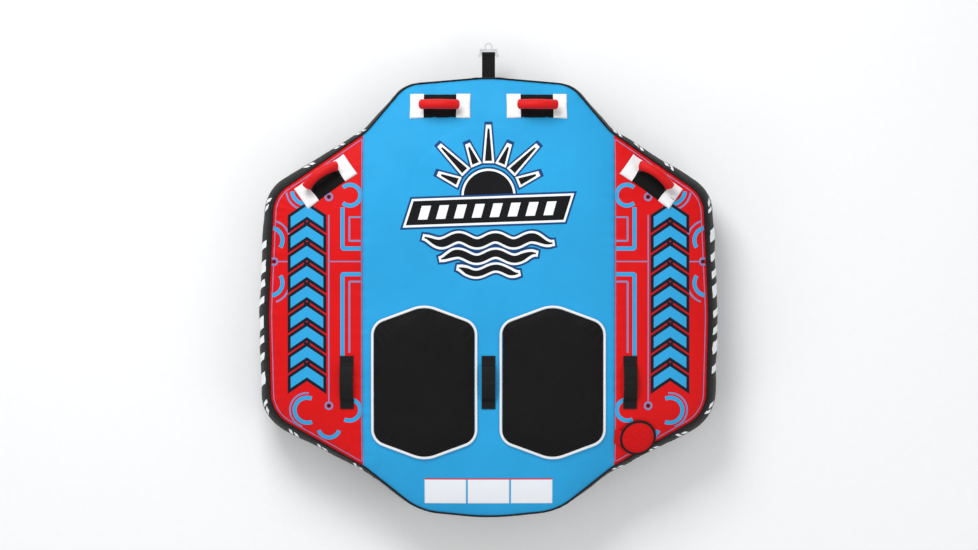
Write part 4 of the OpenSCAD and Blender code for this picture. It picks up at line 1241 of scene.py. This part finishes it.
def build_handle(nm, x, y, az, a):
    m = frame_at(x, y, az)
    hull, loop = "hull", f"handle_{nm}_loop"
    # padded guard lying on the deck
    nu, nv = 74, 34
    u = np.linspace(-1, 1, nu)
    v = np.linspace(-1, 1, nv)
    U, V = np.meshgrid(u, v, indexing="ij")
    # rounded rectangle: pull the corners in
    k = (np.abs(U) ** 12 + np.abs(V) ** 12) ** (1 / 12.0)
    k = np.where(k > 1, 1 / k, 1)
    lx, ly = U * k * 108.5, V * k * 45.5
    h = local_deck(m, lx, ly)
    edge = np.minimum((1 - np.abs(U)) * 108.5, (1 - np.abs(V)) * 45.5)
    t = 2.0 + 4.2 * (1 - np.exp(-edge / 5.5))
    top = to_world(m, np.dstack([lx, ly, h + 0.6 + t]))
    bot = to_world(m, np.dstack([lx, ly, h + 0.5]))
    ob = closed_shell(f"guard_{nm}", top, bot)
    fix_normals(ob)

    def pinned(w):
        l = to_local(m, w)
        hh = l[:, 2] - local_deck(m, l[:, 0], l[:, 1])
        return (np.abs(l[:, 0]) > 102) | (np.abs(l[:, 1]) > 40.5) | (hh < 2.2)
    puff(ob, 3.0, 3.2, pinned, pressure=4.0)
    me = ob.data
    w = np.empty(len(me.vertices) * 3)
    me.vertices.foreach_get("co", w)
    w = w.reshape(-1, 3) * 1000
    l = to_local(m, w)
    hh = l[:, 2] - local_deck(m, l[:, 0], l[:, 1])
    l[:, 2] -= (hh > 3) * (0.8 * np.exp(-((np.abs(l[:, 1]) - 38.5) / 2.2) ** 2))
    me.vertices.foreach_set("co", (to_world(m, l) / 1000).ravel())
    sm = ob.modifiers.new("soft", "SMOOTH")
    sm.factor = 0.5
    sm.iterations = 2
    sb = ob.modifiers.new("sub", "SUBSURF")
    sb.levels = sb.render_levels = 1
    bake_mods(ob)
    ob.data.polygons.foreach_set("use_smooth", [True] * len(ob.data.polygons))
    piece(ob, hull, "guard", "pad_black", f"handle_{nm}_guard")
    # white anchor patches, wrapped over the guard's ends and drawn in where the webbing passes
    obs = []
    for s in (-1, 1):
        nu, nv = 30, 52
        u = np.linspace(0, 1, nu)
        v = np.linspace(-1, 1, nv)
        U, V = np.meshgrid(u, v, indexing="ij")
        inner = 59.0 + 2.6 * np.exp(-(V / 0.34) ** 2)
        outer = 110.6 - 0.6 * np.exp(-(V / 0.5) ** 2)
        lx = s * (inner + (outer - inner) * U)
        ly = V * (46.8 - 0.5 * np.exp(-((U - 0.0) / 0.35) ** 2))
        h = local_deck(m, lx, ly)
        ends = np.clip((110.5 - np.abs(lx)) / 3.5, 0, 1) * np.clip((46.6 - np.abs(ly)) / 3.0, 0, 1)
        hump = 2.9 * np.exp(-(ly / 13.5) ** 4) * np.clip((110.5 - np.abs(lx)) / 9, 0, 1)
        gt = 7.9 * (0.14 + 0.86 * ends)
        wr = 0.35 * cl_small(lx * 1.3 + x, ly * 1.3)
        top = to_world(m, np.dstack([lx, ly, h + gt + hump + wr + 1.2]))
        bot = to_world(m, np.dstack([lx, ly, h + gt + hump + wr]))
        fabv = np.dstack([lx, ly, 0 * lx])
        o = closed_shell("p", top, bot, fab=fabv, flip=(s < 0))
        fix_normals(o)
        obs.append(o)

        def on_patch(px, py):
            px, py = np.asarray(px, float), np.asarray(py, float)
            hh = local_deck(m, px, py)
            hm = 2.9 * np.exp(-(py / 13.5) ** 4) * np.clip((110.5 - np.abs(px)) / 9, 0, 1)
            return to_world(m, np.stack([px, py, hh + 7.9 + hm + 1.3], 1))
        box = np.array([(66, -40), (104, -40), (104, 40), (66, 40), (66, -40)], float)
        box = even(box, 70, False)
        stitches("white", on_patch(s * box[:, 0], box[:, 1]), 4.2, 2.8, r=0.4, up=np.tile(m[:3, 2], (70, 1)))
        xb = even(np.array([(72, -11), (102, -11), (102, 11), (72, 11), (72, -11), (102, 11)], float), 60, False)
        stitches("white", on_patch(s * xb[:, 0], xb[:, 1]), 3.6, 2.4, r=0.4, up=np.tile(m[:3, 2], (60, 1)))
    ob = join(f"patches_{nm}", obs)
    piece(ob, hull, "white", "patch_white", f"handle_{nm}_patches")
    # webbing: from under each patch up into the grip, with a bend at its foot
    for s, side in ((-1, "a"), (1, "b")):
        n = 56
        tt = np.linspace(0, 1, n)
        a1 = HALF - 0.10
        ex, ez = ARCH_R * math.sin(a1), ARCH_H - ARCH_R + ARCH_R * math.cos(a1)
        foot = lean(np.array([[54.0, 0.0, 0.0]]), a)[0]
        # path in the handle frame: under the patch, out of its mouth, then up to the grip
        tip = lean(np.array([[ex, 0, ez]]), a)[0]
        out = [[ex_, 0, float(local_deck(m, s * ex_, 0.0)) + 8.2] for ex_ in (104.0, 94.0, 84.0, 74.0)]
        p = np.array(out + [[66, 0, 0.4 * float(local_deck(m, s * 66.0, 0.0)) + 8.6], [60, 0, 9.4], [54.5, foot[1], foot[2] + 0.8], [53.6, foot[1] * 0.6 + tip[1] * 0.4, foot[2] + 9.0],
                      [57.5, foot[1] * 0.35 + tip[1] * 0.65, foot[2] * 0.4 + tip[2] * 0.6], [tip[0], tip[1], tip[2]]])
        q = catmull(p, n)
        w = np.interp(tt, [0, 0.5, 0.7, 1], [12.5, 11.8, 8.4, 7.5])
        q[:, 0] *= s
        tg = np.gradient(q, axis=0)
        tg /= np.linalg.norm(tg, axis=1)[:, None]
        sd = np.tile([0, 1.0, 0], (n, 1))
        nr = np.cross(tg, sd)
        nr /= np.linalg.norm(nr, axis=1)[:, None]
        kk = np.linspace(-1, 1, 9)
        G = q[:, None] + sd[:, None] * (w[:, None] * kk[None])[..., None]
        F = np.dstack([np.tile((tt * 70)[:, None], (1, 9)), w[:, None] * kk[None], 0 * G[..., 0]])
        o = closed_shell(f"grip_webbing_{nm}_{side}", to_world(m, G + nr[:, None] * 1.1), to_world(m, G - nr[:, None] * 1.1), fab=F)
        fix_normals(o)
        o.data.materials.append(M["web"])
        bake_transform(o)
        if side == "a":
            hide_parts(f"handle_{nm}_core", "handle_strap_tails")
    # foam grip in its sewn red sleeve
    n, mm = 150, 72
    th = np.linspace(-HALF, HALF, n)
    ph = np.arange(mm) * 2 * math.pi / mm
    T, Pp = np.meshgrid(th, ph, indexing="ij")
    rs = np.random.RandomState(int(abs(x) + y))
    along = T * ARCH_R
    endd = (HALF - np.abs(T)) * ARCH_R
    inner = np.clip(-np.sin(Pp), 0, 1)
    r = np.full(T.shape, GRIP_R - 0.6)
    r += 0.5 * inner * np.cos(along * 2 * math.pi / 9.5 + 0.8 * np.sin(Pp * 2)) * np.clip(endd / 12, 0, 1)
    r += 0.45 * np.cos(3 * Pp + along / 31 + rs.uniform(0, 6)) + 0.35 * np.cos(2 * Pp - along / 17)
    r -= 1.3 * np.exp(-((endd - 7.5) / 1.6) ** 2)
    r += 0.7 * np.exp(-((endd - 3.0) / 2.4) ** 2)
    r -= 2.6 * np.exp(-endd / 1.1)
    seam = np.exp(-((((Pp - 1.5 * math.pi + math.pi) % (2 * math.pi)) - math.pi) / 0.055) ** 2)
    r -= 0.9 * seam
    R = ARCH_R + r * np.sin(Pp)
    G = np.dstack([R * np.sin(T), r * np.cos(Pp), ARCH_H - ARCH_R + R * np.cos(T)])
    F = np.dstack([along, Pp * GRIP_R, 0 * T])
    # close each end with a short lip turned into the sleeve
    def lip(i, s):
        out = []
        for rr, dx in ((0.8, 0.25), (0.6, -0.2), (0.5, -2.5)):
            Ri = ARCH_R + (GRIP_R - 0.6) * rr * np.sin(ph)
            ti = s * (HALF + dx / ARCH_R)
            out.append(np.stack([Ri * math.sin(ti), (GRIP_R - 0.6) * rr * np.cos(ph), ARCH_H - ARCH_R + Ri * math.cos(ti)], 1))
        return out
    a_end, b_end = lip(0, -1), lip(n - 1, 1)
    G = np.concatenate([np.array(a_end[::-1]), G, np.array(b_end)])
    F = np.concatenate([F[:1] * 0 + F[:1], F[:1], F[:1], F, F[-1:], F[-1:], F[-1:]])
    ob = grid_obj(f"grip_{nm}", to_world(m, lean(G, a)), wc=True, fab=F)
    bm = bmesh.new()
    bm.from_mesh(ob.data)
    bmesh.ops.holes_fill(bm, edges=[e for e in bm.edges if e.is_boundary], sides=0)
    bmesh.ops.recalc_face_normals(bm, faces=bm.faces[:])
    bm.to_mesh(ob.data)
    bm.free()
    piece(ob, loop, "grip", "grip_red", f"handle_{nm}_grip")


def catmull(p, n):
    p = np.asarray(p, float)
    q = np.vstack([2 * p[0] - p[1], p, 2 * p[-1] - p[-2]])
    out = []
    seg = len(p) - 1
    for t in np.linspace(0, seg, n):
        i = min(int(t), seg - 1)
        f = t - i
        a, b, c, d = q[i], q[i + 1], q[i + 2], q[i + 3]
        out.append(0.5 * ((2 * b) + (-a + c) * f + (2 * a - 5 * b + 4 * c - d) * f ** 2 + (-a + 3 * b - 3 * c + d) * f ** 3))
    return np.array(out)


def build_grab(nm, x):
    m = frame_at(x, -308, 0)
    SL, T = 193.0, 2.4
    for s, side in ((-1, "aft"), (1, "fore")):
        n, k = 60, 17
        yy = np.linspace(0, SL / 2, n)
        arch = 9 + 13.0 * (1 - (yy / 65.5) ** 2)
        lift = np.where(yy < 66.5, np.maximum(arch, 0), 0)
        blend = np.clip((yy - 56) / 14, 0, 1)
        blend = blend * blend * (3 - 2 * blend)
        zc = (9 + 13.0 * (1 - np.minimum(yy / 65.5, 1) ** 2)) * (1 - blend) + 1.4 * blend
        xx = np.linspace(-25, 25, k)
        X, Y = np.meshgrid(xx, yy * s)
        cup = 1.1 * (X / 25) ** 2 * (1 - blend)[:, None]
        base = local_deck(m, X, Y)
        hull_part = np.clip((np.abs(Y) - 60) / 12, 0, 1)
        Z = zc[:, None] - cup + base * hull_part
        t0, t1 = T / 2, T / 2
        nx = 0 * X
        top = to_world(m, np.dstack([X, Y, Z + T]))
        bot = to_world(m, np.dstack([X, Y, Z]))
        F = np.dstack([Y, X, 0 * X])
        ob = closed_shell(f"grab_webbing_{nm}_{side}", top, bot, fab=F)
        fix_normals(ob)
        ob.data.materials.append(M["web"])
        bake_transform(ob)
        if side == "aft":
            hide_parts(f"grab_strap_{nm}")
        elif nm == "left":
            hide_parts("grab_strap_tabs")
        bx = even(np.array([(-20, 71), (20, 71), (20, 92.5), (-20, 92.5), (-20, 71), (20, 92.5)], float), 80, False)
        bx2 = even(np.array([(-20, 92.5), (20, 71)], float), 30, False)
        for b in (bx, bx2):
            hz = local_deck(m, b[:, 0], b[:, 1] * s) + 1.4 + T + 0.1
            stitches("band", to_world(m, np.stack([b[:, 0], b[:, 1] * s, hz], 1)), 3.6, 2.5, r=0.42, up=np.tile(m[:3, 2], (len(b), 1)))


# ------------------------------------------------------------------ valve flap
def build_flap():
    m = VALVE
    nr, na = 46, 160
    r = 64.0 * np.linspace(0.004, 1, nr)
    a = np.arange(na) * 2 * math.pi / na
    R, A = np.meshgrid(r, a, indexing="ij")
    prof_r = [0, 24, 38, 50, 58.0, 61.0, 66]
    prof_z = [11.4, 11.2, 9.8, 6.7, 4.5, 4.1, 4.0]
    Z = np.interp(R, prof_r, prof_z)
    k = np.clip((R - 20) / 40, 0, 1)
    Z = Z + 0.55 * k * np.cos(17 * A + 0.6 * np.sin(3 * A)) * np.exp(-(64 - R) / 16) * np.clip((59 - R) / 9, 0, 1) + 0.8 * np.clip(1 - R / 60, 0, 1) * np.cos(A - 0.6)
    X, Y = R * np.cos(A), R * np.sin(A)
    Z = Z - 1.5 * np.exp(-((X * 0.4 + Y * 0.9 - 6 + 6 * np.sin(X / 24)) / 5.0) ** 2) * np.clip(1 - (R / 52) ** 4, 0, 1)
    Z = Z + 0.5 * cl_small(X * 1.2, Y * 1.2) * np.clip((59 - R) / 9, 0, 1)
    top = to_world(m, np.dstack([X, Y, Z]))
    bot = to_world(m, np.dstack([X, Y, Z - 1.3]))
    fabv = np.dstack([X, Y, 0 * X])
    ob = closed_shell("flap_panel", top[::-1], bot[::-1], fab=fabv[::-1], wrap=True, flip=True, hub=True)
    piece(ob, "valve_flap_body", "flap", "cover_red", "valve_flap")
    n = 200
    a = np.arange(n) * 2 * math.pi / n
    path = np.stack([63.4 * np.cos(a), 63.4 * np.sin(a), 3.95 + 0.2 * np.cos(9 * a)], 1)
    ob = tube_obj("flap_binding", to_world(m, path), 4.7, m=16, flat=0.53, up=np.tile(m[:3, 2], (n, 1)))
    piece(ob, "valve_flap_body", "bind", "binding_black", "valve_flap_binding")
    q = np.stack([60.9 * np.cos(a), 60.9 * np.sin(a), np.full(n, 6.0)], 1)
    stitches("flap", to_world(m, q), 4.4, 3.0, r=0.42, closed=True, up=np.tile(m[:3, 2], (n, 1)))
    # fold of webbing that hinges the flap on its inboard side
    nx, ny = 26, 22
    xs = np.linspace(-85.5, -60, nx)
    ys = np.linspace(-27, 27, ny)
    X, Y = np.meshgrid(xs, ys, indexing="ij")
    on = np.clip((X + 78) / 10, 0, 1)
    Z = (local_deck(m, X, Y) + 0.5) * (1 - on) + 2.6 * on - np.clip((X + 66) / 8, 0, 1) * 0.9
    top = to_world(m, np.dstack([X, Y, Z + 1.5]))
    bot = to_world(m, np.dstack([X, Y, Z]))
    ob = closed_shell("flap_fold", top, bot, fab=np.dstack([X, Y, 0 * X]))
    fix_normals(ob)
    ob.data.materials.append(M["flap"])
    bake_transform(ob)
    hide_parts("valve_flap_hinge_tab")
    b = even(np.array([(-84, -24), (-79.5, -24), (-79.5, 24), (-84, 24), (-84, -24)], float), 60, False)
    hz = local_deck(m, b[:, 0], b[:, 1]) + 2.1
    stitches("red", to_world(m, np.column_stack([b, hz])), 3.8, 2.6, r=0.42, up=np.tile(m[:3, 2], (60, 1)))
    # bound edge of the port under the flap
    n = 140
    a = np.arange(n) * 2 * math.pi / n
    lx, ly = 45.5 * np.cos(a), 45.5 * np.sin(a)
    path = np.stack([lx, ly, local_deck(m, lx, ly) * 0.6 + 0.6], 1)
    ob = tube_obj("port_binding", to_world(m, path), 4.2, m=10, flat=0.4, up=np.tile(m[:3, 2], (n, 1)))
    piece(ob, "hull", "bind", "binding_black", "valve_port_binding")


# ------------------------------------------------------------------ label
def build_label():
    y0, y1 = -749.5, -656.5
    obs = []
    for k in (-1, 0, 1):
        cx = k * 157.0
        X, Y = np.meshgrid(np.linspace(cx - 75.5, cx + 75.5, 60), np.linspace(y0, y1 - 5, 36), indexing="ij")
        z = deck(X, Y)
        ed = np.minimum(np.minimum(X - (cx - 75.5), cx + 75.5 - X), np.minimum(Y - y0, y1 - 5 - Y))
        t = 0.5 + 0.5 * np.clip(ed / 2.5, 0, 1)
        top, bot = np.dstack([X, Y, z + t + 0.3]), np.dstack([X, Y, z + 0.05])
        o = closed_shell("l", top, bot, fab=np.dstack([X, Y, 0 * X]))
        fix_normals(o)
        obs.append(o)
        b = even(np.array([(cx - 72.5, y0 + 3), (cx + 72.5, y0 + 3), (cx + 72.5, y1 - 8), (cx - 72.5, y1 - 8)], float), 120)
        stitches("white", np.column_stack([b, deck(b[:, 0], b[:, 1]) + 1.3]), 4.4, 3.0, r=0.38, closed=True)
    ob = join("label_panels", obs)
    piece(ob, "hull", "label", "label_white", "info_label")
    X, Y = np.meshgrid(np.linspace(-232.5, 232.5, 90), np.linspace(y1 - 4.2, y1, 3), indexing="ij")
    z = deck(X, Y)
    ob = closed_shell("label_stripe", np.dstack([X, Y, z + 0.9]), np.dstack([X, Y, z + 0.05]), fab=np.dstack([X, Y, 0 * X]))
    fix_normals(ob)
    piece(ob, "hull", "red", "label_white")


# ------------------------------------------------------------------ tow point
def build_tow():
    root_y, bar_y, tz, W = BOW_Y + 13.5, BOW_Y + 95.5, 156.0, 48.0
    # patch sewn on the band
    xs = np.linspace(-62, 62, 44)
    zs = np.linspace(112, 200, 34)
    X, Z = np.meshgrid(xs, zs, indexing="ij")
    base = np.zeros(X.shape)
    v = (Z - LOW_Z) / (SEAM_Z - LOW_Z)
    s = X % RIM_L
    bp = band_point(np.where(X < 0, RIM_L + X, X), v)
    Yb = bp[..., 1]
    lip = 2.2 * np.exp(-((np.abs(Z - tz) - 6) / 3.0) ** 2) * (np.abs(X) < 27)
    ed = np.minimum(np.minimum(X + 62, 62 - X), np.minimum(Z - 112, 200 - Z))
    Y = Yb + 0.6 + 1.8 * np.clip(ed / 3, 0.2, 1) + lip + 0.25 * cl_small(X, Z)
    top, bot = np.dstack([bp[..., 0], Y, Z]), np.dstack([bp[..., 0], Yb + 0.1, Z])
    ob = closed_shell("tow_reinforcement", top, bot, fab=np.dstack([X, Z, 0 * X]))
    fix_normals(ob)
    piece(ob, "hull", "web", "cover_black", "tow_patch")
    for x0, x1, z0, z1 in ((-56, 56, 118, 143), (-56, 56, 169, 194)):
        b = even(np.array([(x0, z0), (x1, z0), (x1, z1), (x0, z1), (x0, z0), (x1, z1)], float), 160, False)
        b2 = even(np.array([(x0, z1), (x1, z0)], float), 60, False)
        for q in (b, b2):
            yb = band_point(np.where(q[:, 0] < 0, RIM_L + q[:, 0], q[:, 0]), (q[:, 1] - LOW_Z) / (SEAM_Z - LOW_Z))
            stitches("band", np.stack([yb[:, 0], yb[:, 1] + 2.6, q[:, 1]], 1), 4.2, 3.0, r=0.5, up=np.tile([0, 1.0, 0], (len(q), 1)))
    # doubled webbing: two layers from the root to a fold round the fitting's crossbar
    n = 60
    rr = 6.0
    up_path = [(root_y - 6.5, 2.0), (root_y, 1.9), (root_y + 14, 1.75), (root_y + 36, 1.7), (bar_y - 22, 1.8), (bar_y - 11, 3.2)]
    loop = [(bar_y + rr * math.cos(t), rr * math.sin(t)) for t in np.radians(np.linspace(126, -126, 26))]
    path = up_path + [(bar_y - 5.2, 5.0)] * 0 + loop + [(y, -z) for y, z in up_path[::-1]]
    path = np.array(path, float)
    L = np.r_[0, np.cumsum(np.linalg.norm(np.diff(path, axis=0), axis=1))]
    q = np.stack([np.interp(np.linspace(0, L[-1], 180), L, path[:, i]) for i in (0, 1)], 1)
    for _ in range(6):
        q[1:-1] = 0.25 * q[:-2] + 0.5 * q[1:-1] + 0.25 * q[2:]
    t = np.gradient(q, axis=0)
    t /= np.linalg.norm(t, axis=1)[:, None]
    nn = np.stack([-t[:, 1], t[:, 0]], 1)
    s = np.r_[0, np.cumsum(np.linalg.norm(np.diff(q, axis=0), axis=1))]
    xs = np.linspace(-W / 2, W / 2, 25)
    th = 1.25
    def sheet(o):
        p = q + nn * o
        G = np.zeros((len(q), len(xs), 3))
        G[..., 0] = xs[None]
        G[..., 1] = p[:, 0][:, None]
        G[..., 2] = tz + p[:, 1][:, None]
        return G
    F = np.zeros((len(q), len(xs), 3))
    F[..., 0] = s[:, None]
    F[..., 1] = xs[None]
    ob = closed_shell("tow_webbing", sheet(th), sheet(-th), fab=F)
    fix_normals(ob)
    ob.data.materials.append(M["web"])
    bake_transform(ob)
    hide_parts("tow_strap")
    for zz, u in ((1.72 + th + 0.15, 1.0), (-1.72 - th - 0.15, -1.0)):
        b = even(np.array([(-19, root_y + 20), (19, root_y + 20), (19, bar_y - 26), (-19, bar_y - 26), (-19, root_y + 20), (19, bar_y - 26)], float), 160, False)
        b2 = even(np.array([(19, root_y + 20), (-19, bar_y - 26)], float), 40, False)
        for w in (b, b2):
            stitches("tow", np.stack([w[:, 0], w[:, 1], np.full(len(w), tz + zz)], 1), 4.2, 3.0, r=0.48, up=np.tile([0, 0, u], (len(w), 1)))


# ------------------------------------------------------------------ build everything
build_cover()
build_band()
build_bottom()
emblem()
for sx in (-1, 1):
    chevrons(sx)
    scrolls(sx)
    seam_highlight_lines(sx)
build_prints()
band_marks()
build_pads()
for nm, (x, y, az, a) in HANDLES.items():
    build_handle(nm, x, y, az, a)
for nm, x in (("left", -514.0), ("center", 0.0), ("right", 514.0)):
    build_grab(nm, x)
build_flap()
build_label()
build_tow()
# lengthwise deck seams: a double row of stitching each side
yy = np.linspace(-600, 590, 400)
for sx in (-1, 1):
    for dx, key in ((-6.0, "blue"), (6.0, "red")):
        xx = np.full(400, sx * (DSX + dx))
        ok = (yy > y_stern(xx) + 8) & (yy < y_bow(xx) - 8)
        xx, y2 = xx[ok], yy[ok]
        stitches(key, np.stack([xx, y2, deck(xx, y2)], 1), 5.2, 3.5)
for key, body, mat, slot in (("blue", "hull", "th_blue", "cover_blue"), ("red", "hull", "th_red", "cover_red"), ("white", "hull", "th_white", "patch_white"),
                             ("band", "hull", "th_black", "binding_black"), ("under", "hull", "th_black", "binding_black"),
                             ("flap", "valve_flap_body", "th_black", "binding_black"), ("tow", "tow_strap_body", "th_black", "webbing_black")):
    if key in STITCH:
        ob = build_stitches(key, "stitching_" + key)
        piece(ob, body, mat, slot)

# CAD nodes that stay: procedural materials, softened edges
KEEP = {"bladder_top_skin": "film", "bladder_bottom_skin": "film", "bladder_baffles": "film", "valve_base": "valve_w", "valve_insert": "valve_w",
        "valve_diaphragm": "rubber", "valve_cap": "valve_b", "valve_cap_seal": "rubber", "valve_tether": "valve_b",
        "tow_fitting": "alloy", "zipper_tapes": "web", "zipper_teeth": "coil", "zipper_slider": "steel", "zipper_pull": "steel"}
for nd, mt in KEEP.items():
    ob = NODES[nd]
    mat = M[mt]
    if mt == "web":
        mat = M.setdefault("web_obj", cloth_mat("webbing_flat", (12, 11, 11), kind="rib", fab=False, pitch=0.0014, rough=0.66, vary=0.18, bump=0.5))
    if ob.material_slots:
        for s in ob.material_slots:
            s.material = mat
    else:
        ob.data.materials.append(mat)
    if nd in ("tow_fitting", "zipper_slider", "zipper_pull"):
        b = ob.modifiers.new("edge", "BEVEL")
        b.width = 0.0009 if nd == "tow_fitting" else 0.0002
        b.segments = 3
        b.limit_method = "ANGLE"
        b.angle_limit = math.radians(35)
        b.harden_normals = False

# ------------------------------------------------------------------ floor, light, camera
def plane(name, size, z):
    me = bpy.data.meshes.new(name)
    s = size / 2
    me.from_pydata([(-s, -s, z), (s, -s, z), (s, s, z), (-s, s, z)], [], [(0, 1, 2, 3)])
    o = bpy.data.objects.new(name, me)
    bpy.context.scene.collection.objects.link(o)
    me.materials.append(M["floor"])
    return o


plane("studio_floor", 60.0, -0.0008)
bpy.context.scene.view_settings.view_transform = "Standard"
world = bpy.data.worlds.new("studio")
bpy.context.scene.world = world
world.use_nodes = True
bg = world.node_tree.nodes["Background"]
bg.inputs[0].default_value = (1.0, 1.0, 1.0, 1)
bg.inputs[1].default_value = 0.52


def area(name, loc, aim, size, power):
    d = bpy.data.lights.new(name, "AREA")
    d.shape = "SQUARE"
    d.size = size
    d.energy = power
    o = bpy.data.objects.new(name, d)
    o.location = loc
    o.rotation_euler = (Vector(aim) - Vector(loc)).to_track_quat("-Z", "Y").to_euler()
    bpy.context.scene.collection.objects.link(o)


area("key", (-1.3, 3.6, 4.0), (0, 0.35, 0.2), 2.4, 185)
area("fill", (3.2, -2.0, 4.0), (0, 0, 0.2), 3.0, 52)
area("rim", (-3.4, -3.0, 3.0), (0, 0, 0.2), 2.5, 34)

cam = bpy.data.cameras.new("camera")
cam.lens = 121.0
cam.sensor_width = 36.0
cam.clip_end = 100
co = bpy.data.objects.new("camera", cam)
co.location = (0.0018, 0.082, 0.25 + 12.0)
co.rotation_euler = (0, 0, 0)
bpy.context.scene.collection.objects.link(co)
bpy.context.scene.camera = co
